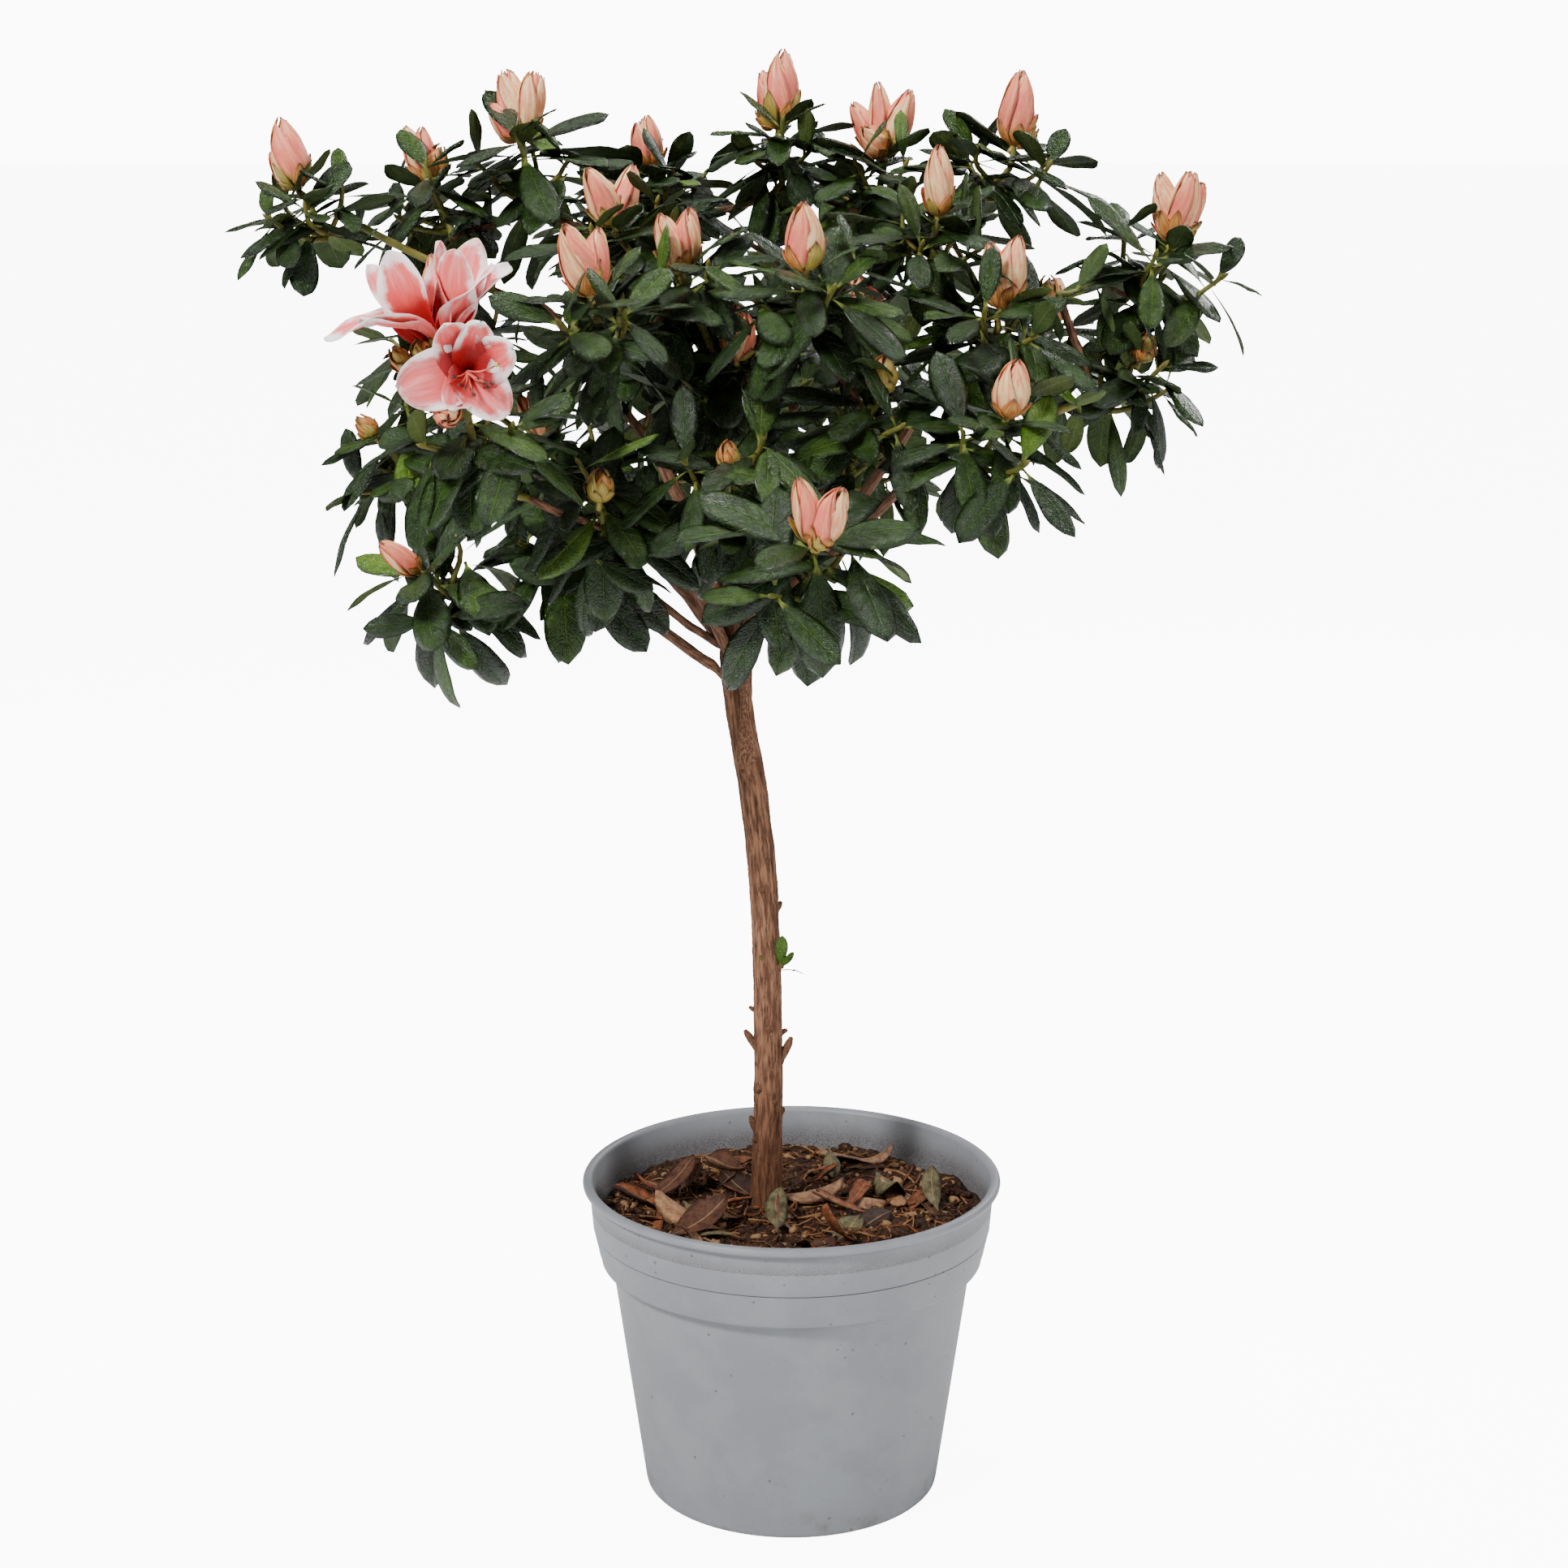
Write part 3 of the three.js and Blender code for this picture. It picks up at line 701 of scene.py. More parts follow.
def makeLeafMaterial(name, blade, vein, under=False):
    rough = 0.5 if under else 0.16
    material, tree, shader = newMaterial(name, Specular_IOR_Level=0.3 if under else 0.5)
    veins = useGroup(tree, veinGroup, Pairs=7.5, Sweep=1.6)
    cloud = useGroup(tree, grainGroup, Size=7.0)["Grain"]
    grain = useGroup(tree, grainGroup, Size=0.55, Rough=0.75)["Grain"]
    paintedGlints = useGroup(tree, speckGroup, Size=0.6, Amount=0.1)["Specks"]
    along = shapeShares(tree)[0]
    shade = mixed(tree, ramp(tree, cloud, 0.3, 0.72), blade, mixed(tree, 0.5, blade, vein))
    lines = maths(tree, "MAXIMUM", maths(tree, "MULTIPLY", veins["Veins"], 0.38),
                  maths(tree, "MULTIPLY", veins["Midrib"], 0.85))
    shade = mixed(tree, lines, shade, vein)
    stalk = ramp(tree, along, leaf["stalkShare"] + 0.06, leaf["stalkShare"] - 0.02)
    shade = mixed(tree, stalk, shade, rgb(128, 140, 60))
    # pale flecks on the blade: painted glints where the leaf's fine hairs catch the light
    shade = mixed(tree, maths(tree, "MULTIPLY", paintedGlints, 0.1), shade, rgb(150, 170, 120))
    tree.links.new(shade, shader["Base Color"])
    tree.links.new(ramp(tree, cloud, 0.2, 0.8, rough - 0.06, rough + 0.12), shader["Roughness"])
    sign = 0.8 if under else -1.0
    height = maths(tree, "MULTIPLY", maths(tree, "ADD", veins["Veins"], veins["Midrib"]), sign)
    height = maths(tree, "ADD", height, maths(tree, "MULTIPLY", grain, 1.1))
    bumpTo(tree, shader["Normal"], height, 0.42, 0.85)
    return material


class LeafStore:
    # leaves noted down one by one, and shaped all together at the end
    def __init__(self):
        self.rows = []

    def note(self, base, way, face, length, width, droop=18.0, fold=14.0, curl=8.0, tint=None, **more):
        way = unit(way)
        face = unit(face - way * face.dot(way))
        if tint is None:
            tint = random.choices((0, 1, 2, 3), (46, 34, 17, 3))[0]
        numbers = (length, width, droop, fold, curl, random.gauss(0, 7), random.gauss(0, 9),
                   random.uniform(0, 6.28), more.get("cup", 0.0), tint, random.choice((4, 4, 5)))
        self.rows.append(np.concatenate([base, way, face, numbers]))

    def shape(self, heap):
        table = np.array(self.rows)
        middles = np.array([middle for middle, reach in leaf["keepClear"]]) * mm
        reaches = np.array([reach for middle, reach in leaf["keepClear"]]) * mm
        for share in (0.3, 0.65, 1.0):
            place = table[:, :3] + table[:, 3:6] * table[:, 9:10] * share * mm
            far = np.linalg.norm(place[:, None] - middles, axis=2)
            table = table[(far > reaches).all(1)]
        base, way, face = table[:, :3], table[:, 3:6], table[:, 6:9]
        length, width, droop, fold, curl, sweep, spin, phase, cup, tint, under = table[:, 9:].T
        s = np.linspace(0, 1, leaf["rows"])
        v = np.array(leaf["acrossSteps"])
        t = np.clip((s - leaf["stalkShare"]) / (1 - leaf["stalkShare"]), 0, 1)
        blade = t**0.8 * (1 - t)**0.6 / 0.5167
        half = np.maximum(blade[None] * width[:, None] / 2, leaf["stalkWidth"] / 2 * (1 - t[None]))
        half[:, -1] = 0.16
        # the midrib bends down along the leaf and sways a little to one side
        bend = np.radians(droop)[:, None] * (s[None]**1.3)
        sway = np.radians(sweep)[:, None] * s[None]
        stepX = np.cos(bend) * np.cos(sway)
        stepY = np.cos(bend) * np.sin(sway)
        stepZ = -np.sin(bend)
        run = [np.concatenate([np.zeros((len(table), 1)),
                               np.cumsum((c[:, 1:] + c[:, :-1]) / 2 * np.diff(s), axis=1)], 1)
               * length[:, None] for c in (stepX, stepY, stepZ)]
        # across the blade: a shallow fold at the midrib, edges that roll down, a slow ripple
        y = half[:, :, None] * v
        lift = np.abs(y) * np.tan(np.radians(fold))[:, None, None]
        rolled = -np.sin(np.radians(curl))[:, None, None] * half[:, :, None] * v**4 * 1.4
        ripple = (np.sin(s[None, :, None] * 13 + phase[:, None, None] + v * 1.5) * 0.5
                  * v**2 * blade[None, :, None])
        pinch = -cup[:, None, None] * y**2 / 9
        z = (lift + rolled + ripple + pinch) * t[None, :, None]**0.5
        y = y * np.cos(np.radians(fold))[:, None, None]
        turn = np.radians(spin)[:, None, None] * s[None, :, None]
        y, z = y * np.cos(turn) - z * np.sin(turn), y * np.sin(turn) + z * np.cos(turn)
        side = np.cross(face, way)
        downX, downZ = np.sin(bend)[:, :, None], np.cos(bend)[:, :, None]
        localX = run[0][:, :, None] + z * downX
        localY = run[1][:, :, None] + y
        localZ = run[2][:, :, None] + z * downZ
        grids = (base[:, None, None] + mm * (localX[..., None] * way[:, None, None]
                                             + localY[..., None] * side[:, None, None]
                                             + localZ[..., None] * face[:, None, None]))
        addSheets(heap, grids, leaf["thickness"] * mm, tint.astype(int), under.astype(int), s, v)


def leafMaterials():
    tops = [makeLeafMaterial(name, *colours) for name, colours in leaf["tops"].items()]
    return tops + [makeLeafMaterial(name, *colours, under=True) for name, colours in leaf["unders"].items()]


def makeFallenLeaves(edge):
    store = LeafStore()
    for _ in range(compost["fallenLeaves"]):
        reach, turn = (edge - 16) * math.sqrt(random.random()), random.uniform(0, 2 * math.pi)
        x, y = reach * math.cos(turn) - 1, reach * math.sin(turn)
        if math.hypot(x + 9, y) < 13:
            continue
        heading = random.uniform(0, 2 * math.pi)
        tilt = random.gauss(0, 14)
        way = np.array([math.cos(heading), math.sin(heading), math.sin(math.radians(tilt))])
        face = np.array([random.gauss(0, 0.28), random.gauss(0, 0.28), random.choice((1, 1, -1))])
        length = random.uniform(*compost["fallenLength"])
        height = compostHeight(np.array([x]), np.array([y]), edge)[0] + random.uniform(1.5, 4.5)
        middle = np.array([x, y, height]) * mm
        store.note(middle - unit(way) * length / 2 * mm, way, face, length,
                   length * random.uniform(0.42, 0.6),
                   droop=random.uniform(-60, 80), fold=random.uniform(-8, 40), curl=random.uniform(-34, 34),
                   cup=random.uniform(-0.6, 1.2), tint=random.choice((0, 0, 0, 1, 1, 2, 3)))
    heap = Heap()
    store.shape(heap)
    dry = {"dryBrown": ((92, 58, 40), (58, 34, 24)), "dryRust": ((142, 82, 50), (88, 48, 30)),
           "dryTan": ((178, 134, 96), (130, 88, 58)), "dryOlive": ((112, 104, 70), (70, 62, 42)),
           "dryUnder": ((150, 112, 84), (96, 66, 48)), "dryDark": ((64, 44, 36), (40, 26, 20))}
    materials = [makeDryMaterial(name, rgb(*a), rgb(*b)) for name, (a, b) in dry.items()]
    return finishPiece(heap.build("compost_fallen_leaves", materials))


compostSurface, compostEdge = makeCompost()
makeLitter(compostEdge)
makeFallenLeaves(compostEdge)
print("compost made")


# Stem and boughs

bark = {
    "old": rgb(88, 56, 38),
    "ridge": rgb(148, 106, 78),
    "crack": rgb(40, 23, 15),
    "foot": rgb(60, 34, 20),
    "relief": 0.07,
    "stubs": [  # height, bearing, radius at the stem, length, rise, how much it bends up
        (209.5, 8, 1.2, 2.8, 40, 0.4), (191.5, 330, 1.2, 2.0, 10, 0.2), (174.6, 186, 1.0, 2.7, 25, 0.0),
        (167.5, 2, 1.1, 1.9, 5, 0.3), (163.0, 188, 1.5, 3.6, 8, 0.9), (156.0, 356, 1.6, 4.6, 30, 0.9),
        (152.5, 200, 1.3, 3.6, 55, -0.2), (148.5, 222, 1.9, 1.6, 0, 0.2), (144.0, 300, 1.5, 0.9, 0, 0.0),
        (133.5, 6, 1.5, 2.4, 40, 0.3), (126.0, 200, 1.5, 5.2, 52, 0.5), (124.0, 215, 1.1, 5.2, 52, -0.3),
        (183, 95, 1.3, 2.2, 30, 0.3), (222, 262, 1.4, 0.8, 0, 0.0), (201, 130, 1.2, 2.4, 30, 0.2),
        (141, 60, 1.5, 2.6, 25, 0.5), (243, 40, 1.2, 1.2, 30, 0.2), (262, 240, 1.3, 0.9, 20, 0.0),
        (117, 100, 1.6, 2.4, 40, 0.3), (171, 280, 1.7, 0.7, 0, 0.0), (232, 300, 1.2, 0.6, 0, 0.0)],
    "forkTop": (-20.6, 0, 300),  # where the boughs part
    "forkFoot": (-20.6, 0, 297),  # where they start inside the stem
    "relaxedShoots": [(268, 262, 1.7, 30), (284, 60, 1.4, 20)],  # height, bearing, radius, rise
}


def makeBark(name, count, wander, tone=rgb(108, 70, 52), depth=1.0):
    material, tree, shader = newMaterial(name, Roughness=0.82, Specular_IOR_Level=0.3)
    streaks = useGroup(tree, barkGroup, Count=count, Wander=wander)
    grain = useGroup(tree, grainGroup, Size=0.6, Rough=0.7)["Grain"]
    cloud = useGroup(tree, grainGroup, Size=11.0)["Grain"]
    height = put(tree, "SeparateXYZ", feeds={0: placeVector(tree)}).outputs[2]
    shade = mixed(tree, ramp(tree, streaks["Plates"], 0.36, 0.66), bark["old"], bark["ridge"])
    shade = mixed(tree, maths(tree, "MULTIPLY", streaks["Cracks"], 0.75), shade, bark["crack"])
    shade = mixed(tree, 1 - depth, shade, bark["crack"])
    shade = mixed(tree, ramp(tree, cloud, 0.5, 0.75, 0.0, 0.45), shade, tone)
    shade = mixed(tree, ramp(tree, height, 165.0, 105.0, 0.0, 0.75), shade,
                  mixed(tree, streaks["Plates"], bark["foot"], rgb(96, 56, 32)))
    tree.links.new(shade, shader["Base Color"])
    relief = maths(tree, "SUBTRACT", streaks["Plates"], maths(tree, "MULTIPLY", streaks["Cracks"], 0.8))
    relief = maths(tree, "ADD", relief, maths(tree, "MULTIPLY", grain, 0.35))
    bumpTo(tree, shader["Normal"], relief, 0.5, 0.8)
    return material


def makeGreenWood():
    # young shoots, yellow green and a little hairy
    material, tree, shader = newMaterial("youngShoot", Roughness=0.55, Specular_IOR_Level=0.4)
    streaks = useGroup(tree, barkGroup, Count=9.0, Wander=14.0)
    grain = useGroup(tree, grainGroup, Size=0.5, Rough=0.7)["Grain"]
    cloud = useGroup(tree, grainGroup, Size=8.0)["Grain"]
    shade = mixed(tree, ramp(tree, cloud, 0.35, 0.65), rgb(84, 94, 30), rgb(118, 108, 40))
    shade = mixed(tree, ramp(tree, streaks["Plates"], 0.5, 0.72, 0.0, 0.7), shade, rgb(78, 54, 26))
    tree.links.new(shade, shader["Base Color"])
    bumpTo(tree, shader["Normal"], maths(tree, "ADD", streaks["Plates"], grain), 0.2, 0.7)
    return material


def limbLine(node, slices=16):
    # the middle line of a limb and how thick it is, read from the frame's own solid
    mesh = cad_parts[node].data
    points = np.zeros(len(mesh.vertices) * 3)
    mesh.vertices.foreach_get("co", points)
    points = points.reshape(-1, 3)
    edges = np.zeros(len(mesh.edges) * 2, dtype=int)
    mesh.edges.foreach_get("vertices", edges)
    edges = edges.reshape(-1, 2)
    if node == "stem":
        way = up
    else:
        far = np.linalg.norm(points - np.array(bark["forkTop"]) * mm, axis=1)
        start = points[far < far.min() + 6 * mm].mean(0)
        end = points[far > far.max() - 4 * mm].mean(0)
        way = unit(end - start)
    depth = points @ way
    low, high = depth.min(), depth.max()
    line, radii = [], []
    for share in np.linspace(0.015, 0.985, slices):
        level = low + (high - low) * share
        a, b = depth[edges[:, 0]], depth[edges[:, 1]]
        cut = (a - level) * (b - level) < 0
        t = ((level - a[cut]) / (b[cut] - a[cut]))[:, None]
        ring = points[edges[cut, 0]] * (1 - t) + points[edges[cut, 1]] * t
        centre = (ring.min(0) + ring.max(0)) / 2 if node == "stem" else ring.mean(0)
        line.append(centre)
        radii.append(np.linalg.norm(ring - centre, axis=1).mean())
    return np.array(line), np.array(radii)


def barkRelief(rows, sides, spacing, girth, depth, seed):
    # how far the bark stands out at each point of a limb, as a share of its radius
    turn = np.linspace(0, 2 * math.pi, sides, endpoint=False)
    relief = np.ones((rows, sides))
    for i in range(rows):
        for j in range(sides):
            angle = turn[j] + 0.02 * i
            place = Vector((math.cos(angle) * girth, math.sin(angle) * girth, i * spacing + seed))
            ridge = 1 - abs(noise.noise(place * 1.0)) * 2.2
            wide = Vector((place.x * 0.35, place.y * 0.35, place.z * 0.9))
            broad = noise.noise(wide + Vector((9, 4, seed)))
            relief[i, j] += depth * ridge + depth * 0.9 * broad
    return relief


def limbTube(heap, path, radii, sides, spacing, seed, depth=None):
    count = max(int(np.linalg.norm(np.diff(path, axis=0), axis=1).sum() / (spacing * mm)), 6)
    smooth = curveThrough(path, count)
    thick = np.interp(np.linspace(0, 1, count), np.linspace(0, 1, len(radii)), radii)
    relief = barkRelief(count, sides, spacing * 0.1, 3.4, depth or bark["relief"], seed)
    addTube(heap, smooth, thick, sides, 0, relief)
    return smooth, thick


def makeStem():
    heap = Heap()
    line, radii = limbLine("stem", 22)
    line = np.vstack([line[:1] - up * 6 * mm, line, line[-1:] + up * 4 * mm])
    radii = np.concatenate([radii[:1] * 1.12, radii, radii[-1:] * 0.86])
    smooth, thick = limbTube(heap, line, radii, 56, 0.9, 2.5)
    for height, bearing, radius, length, rise, hook in bark["stubs"]:
        i = int(np.argmin(abs(smooth[:, 2] - height * mm)))
        turn = math.radians(bearing)
        out = np.array([math.cos(turn), math.sin(turn), math.tan(math.radians(rise))])
        out = unit(out)
        start = smooth[i] + out * thick[i] * 0.5
        reach = (thick[i] * 0.5 + length * mm)
        steps = np.linspace(0, 1, 9)
        bow = up * (steps**2)[:, None] * reach * hook
        path = start + steps[:, None] * out * reach + bow
        shape = np.interp(steps, (0, 0.3, 0.5, 0.9, 1), (1.8, 1.2, 0.9, 0.72, 0.4))
        relief = barkRelief(9, 14, 0.6, 1.6, 0.22, height)
        addTube(heap, path, radius * mm * shape, 14, 0, relief)
    # thin boughs that lie along the stem before they part from it
    for height, bearing, radius, rise in bark["relaxedShoots"]:
        i = int(np.argmin(abs(smooth[:, 2] - height * mm)))
        turn = math.radians(bearing)
        out = np.array([math.cos(turn), math.sin(turn), 0])
        path = [smooth[i] + out * thick[i] * 0.4,
                smooth[i] + out * thick[i] * 1.15 + up * rise * 0.4 * mm,
                smooth[i] + out * thick[i] * 1.35 + up * rise * mm]
        limbTube(heap, np.array(path), np.array([2.2, 1.0, 0.8]) * radius * mm, 14, 1.2, height, 0.08)
    piece = heap.build("stem_bark", [makeBark("stemBark", 26.0, 22.0)])
    return finishPiece(piece, ["stem"]), smooth, thick


stemPiece, stemLine, stemRadii = makeStem()
print("stem made")

boughNodes = [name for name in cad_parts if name.startswith("bough_")]
twigNodes = [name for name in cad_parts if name.startswith("twig_")]
massNodes = [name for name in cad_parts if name.startswith("foliage_")]

woodPoints = []  # every place a new twig may leave from
woodWays = []
woodThick = []


def noteWood(path, radii):
    ways = np.gradient(path, axis=0)
    for point, way, radius in zip(path, ways, radii):
        woodPoints.append(point)
        woodWays.append(unit(way))
        woodThick.append(radius)


def makeBoughs():
    heap = Heap()
    for number, node in enumerate(boughNodes):
        line, radii = limbLine(node, 12)
        fork = np.array(bark["forkFoot"]) * mm
        line = np.vstack([[fork * 0.65 + line[0] * 0.35], line])
        radii = np.concatenate([radii[:1] * 1.15, radii])
        smooth, thick = limbTube(heap, line, radii * 1.02, 22, 1.4, number * 7.3 + 1)
        noteWood(smooth[len(smooth) // 3::2], thick[len(smooth) // 3::2])
    piece = heap.build("bough_bark", [makeBark("boughBark", 14.0, 12.0, rgb(78, 46, 34), 0.72)])
    return finishPiece(piece, boughNodes)


makeBoughs()
print("boughs made")


# How the crown branches

crown = {
    "axis": np.array([-20.0, 0.0, 300.0]) * mm,
    "rosetteLeaves": 9,
    "sideShoots": {"core": 6, "back": 5, "rim": 4, "low": 3},
    "lowTop": 402,  # the low front masses are those under this height
    "lowBack": -20,  # and in front of this
    "leafTurn": 137.5,  # from one leaf of a spiral to the next
    "shootRadius": 0.95,
    "budShare": (0.88, 0.86),  # of the length and width noted for each bud
}

# longest leaf of a spray, where it isn't the usual
sprayLeaf = {"front_low": 39, "low_left": 35, "bloom": 37, "tip_left": 27, "high_left": 28, "tip_right": 32,
             "low_right": 31, "front_bottom": 33, "inner_left": 36, "side_left": 32, "top": 29}
# where a leading shoot ends, off the middle of its spray
tipShift = {"bloom": (9, -2, -21), "low_left": (2, 0, 6), "front_low": (0, -2, 2)}

# flower buds on each spray: kind, length, width, lean sideways and lean back
budsOn = {
    "tip_left": [("tight", 27, 13, -0.05, 0), ("tight", 17, 8, -0.5, 0.1)],
    "high_left": [("tight", 24, 9, -0.25, 0.1), ("tight", 22, 9, 0.05, 0), ("scaly", 16, 9, 0.5, -0.2)],
    "top_left": [("open", 28, 11, -0.16, 0.1), ("open", 27, 11, 0.3, -0.05), ("tight", 18, 9, -0.75, -0.2)],
    "top_back": [("tight", 20, 9, -0.35, 0), ("tight", 22, 10, 0.25, 0.1), ("tight", 17, 9, 0.9, 0.3)],
    "top": [("tight", 30, 13, 0.1, 0), ("tight", 24, 9, -0.25, 0.3), ("scaly", 11, 6, -1.0, -0.1)],
    "top_middle": [("tight", 24, 9, -0.6, 0.2), ("tight", 28, 9, -0.1, 0), ("tight", 27, 11, 0.4, -0.05),
                   ("tight", 16, 9, -0.7, -0.8)],
    "top_right": [("tight", 29, 13, -0.05, 0), ("scaly", 12, 6, 0.9, 0)],
    "tip_right": [("tight", 26, 10, -0.35, 0.1), ("open", 27, 10, 0.05, -0.15), ("tight", 25, 9, 0.35, 0.2),
                  ("scaly", 11, 6, 0.95, -0.2)],
    "high_right": [("tight", 26, 10, -0.05, -0.05)],
    "high_middle": [("tight", 24, 11, -0.3, -0.2), ("tight", 24, 10, 0.45, 0.25),
                    ("tight", 20, 9, -0.1, 0.6)],
    "front_left": [("tight", 27, 12, -0.2, -0.15), ("tight", 24, 10, 0.25, 0.1),
                   ("tight", 20, 9, -0.35, 0.5)],
    "front_notch": [("tight", 22, 10, -0.25, -0.1), ("tight", 23, 10, 0.25, 0)],
    "front_high": [("tight", 25, 13, 0.0, -0.15)],
    "right": [("tight", 24, 10, -0.25, 0), ("tight", 27, 11, 0.15, -0.05)],
    "front_right": [("tight", 22, 12, 0.0, -0.2)],
    "front_inner": [("scaly", 15, 9, 0.0, -0.1)],
    "low_right": [("scaly", 12, 8, 0.1, -0.3)],
    "front_low": [("tight", 25, 9, -0.25, -0.05), ("tight", 24, 11, 0.4, -0.2), ("scaly", 9, 6, 0.3, -1.0)],
    "front_bottom": [("scaly", 11, 6, 0.0, -0.2)],
    "front_side": [("scaly", 13, 8, 0.1, -0.1)],
    "low_left": [("tight", 19, 8, -0.85, -0.3)],
    "side_left": [("scaly", 11, 6, -0.5, -0.2)],
}


# unopened buds among the flowers: base, heading, kind, length, width
bloomBuds = [((-109, -121, 414), (-0.1, -0.5, 1.0), "scaly", 9, 6),
             ((-114, -118, 411), (-0.7, -0.3, 1.0), "scaly", 10, 5),
             ((-102, -126, 401), (0.1, -0.8, -0.35), "tight", 10, 9),
             ((-107, -112, 424), (0.0, 0.1, 1.0), "tight", 24, 7)]


def massOf(node):
    low, high = (np.array(corner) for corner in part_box(node))
    return (low + high) / 2, (high - low) / 2


def outwardFrom(place):
    away = place - crown["axis"]
    return unit(np.array([away[0], away[1], 0.0]))


def nearestWood(place):
    # the closest spot on the wood so far, with a little favour for wood that points this way
    spots = np.array(woodPoints)
    away = place - spots
    far = np.linalg.norm(away, axis=1)
    heading = np.einsum("ij,ij->i", np.array(woodWays), away) / np.maximum(far, 1e-6)
    cost = far * (1.35 - 0.35 * heading)
    return int(np.argmin(cost)), far


def growTwig(heap, start, startWay, end, endWay, first, last, sides=9, green=0.0, wiggle=2.4,
             pointed=False):
    count = max(int(np.linalg.norm(end - start) / (3.2 * mm)), 6)
    path = hookCurve(start, startWay, end, endWay, count, 0.36)
    seed = random.uniform(0, 50)
    for i in range(1, count - 1):
        sway = Vector((seed, i * 0.31, 1.7))
        path[i] += np.array(noise.noise_vector(sway)) * wiggle * mm * math.sin(math.pi * i / count)
    radii = np.linspace(first, last, count) * mm
    thick = radii * (1 + 0.1 * np.array([random.random() for _ in range(count)]))
    split = int(round(count * (1 - green)))
    if pointed:
        # a resting bud closes the end of a shoot
        point = [end + endWay * d * mm for d in (0.9, 2.0, 3.0)]
        path = np.vstack([path, point])
        thick = np.concatenate([thick, np.array([1.15, 0.8, 0.15]) * last * mm])
    if green and split < count - 2:
        # the older part is bark and the rest is still green
        addTube(heap, path[:split + 1], thick[:split + 1], sides)
        addTube(youngWood, path[split:], thick[split:] * 1.02, sides)
    else:
        addTube(heap, path, thick, sides)
    return path[:count], radii


def leavesAlong(store, path, size, gap, drop):
    # single leaves up a shoot, in a spiral
    turn = random.uniform(0, 360)
    ways = np.gradient(path, axis=0)
    far = np.concatenate([[0], np.cumsum(np.linalg.norm(np.diff(path, axis=0), axis=1))])
    for k, spot in enumerate(np.arange(gap, far[-1] / mm - 1, gap)):
        i = min(int(np.searchsorted(far, spot * mm)), len(path) - 1)
        way = unit(ways[i])
        out = turned(sideOf(way), way, math.radians(turn + crown["leafTurn"] * k))
        lift = math.radians(random.uniform(5, 45))
        length = size * random.uniform(0.6, 0.95)
        heading = out * math.cos(lift) + way * math.sin(lift)
        face = way * math.cos(lift) - out * math.sin(lift) + up * 0.75
        store.note(path[i], heading - up * 0.1 * drop, face, length, length * random.uniform(0.44, 0.56),
                   droop=random.uniform(8, 28) * drop, fold=random.uniform(8, 24),
                   curl=random.uniform(6, 26))


youngWood = Heap()
oldWood = Heap()
leafStores = {name: LeafStore() for name in ("front", "left", "right", "back", "core")}
storeNodes = {name: [] for name in leafStores}
budPlaces = []


def storeFor(node):
    middle = massOf(node)[0]
    if "core" in node or "middle" in node or "notch" in node or "inner" in node:
        return "core"
    if "back" in node:
        return "back"
    if middle[0] < -75 * mm:
        return "left"
    return "right" if middle[0] > 30 * mm else "front"


def growRosette(store, tip, axis, count, size, low=-16, high=40, spacing=1.4, drop=1.0):
    # leaves in a spiral round a shoot: small and steep at its tip, long and level lower down
    side = sideOf(axis)
    start = random.uniform(0, 360)
    for i in range(count):
        age = i / max(count - 1, 1)
        lift = math.radians(high + (low - high) * age**0.75 + random.gauss(0, 8))
        out = turned(side, axis, math.radians(start + crown["leafTurn"] * i + random.gauss(0, 10)))
        way = out * math.cos(lift) + axis * math.sin(lift)
        face = axis * math.cos(lift) - out * math.sin(lift) + up * 0.75
        length = size * (0.68 + 0.32 * min(age * 3.0, 1)) * random.uniform(0.9, 1.08)
        base = tip - axis * (spacing * i + 0.5) * mm + out * 0.5 * mm
        store.note(base, way - up * 0.1 * drop * age, face, length, length * random.uniform(0.46, 0.6),
                   droop=random.uniform(8, 34) * (0.4 + 0.6 * age) * drop, fold=random.uniform(6, 24),
                   curl=random.uniform(4, 24), tint=2 if age < 0.12 and random.random() < 0.4 else None)


def shootAxis(place):
    # shoots stand up at the top of the crown and reach outward lower down
    height = (place[2] - 320 * mm) / (160 * mm)
    rise = 0.35 + 0.75 * float(np.clip(height, 0, 1))
    return unit(up * rise + outwardFrom(place) * (1.05 - 0.75 * rise)
                + np.array([random.gauss(0, 0.12), random.gauss(0, 0.12), 0]))


def noteBuds(kind, tip, axis):
    # buds stand in the middle of the leading rosette, and its leaves leave room for them
    wanted = budsOn.get(kind, [])
    if "back" in kind or "core" in kind:
        many = random.choice((1, 2, 2, 3)) if "back" in kind else random.choice((0, 1, 2))
        wanted = [(random.choice(("tight", "tight", "scaly")), random.uniform(19, 27), random.uniform(9, 12),
                   random.gauss(0, 0.35), random.gauss(0, 0.35)) for _ in range(many)]
    upright = unit(axis * 0.5 + up)
    found = [(tip + unit(upright + np.array([x, y, 0])) * 1.0 * mm, unit(upright + np.array([x, y, 0])),
              shape, length, width) for shape, length, width, x, y in wanted]
    if kind == "bloom":
        found = [(np.array(place) * mm, unit(np.array(heading)), *rest)
                 for place, heading, *rest in bloomBuds]
    for base, heading, shape, length, width in found:
        length, width = length * crown["budShare"][0], width * crown["budShare"][1]
        budPlaces.append((base, heading, shape, length, width))
        leaf["keepClear"].append((base / mm + heading * length * 0.62, width * 0.42 + 1.2))


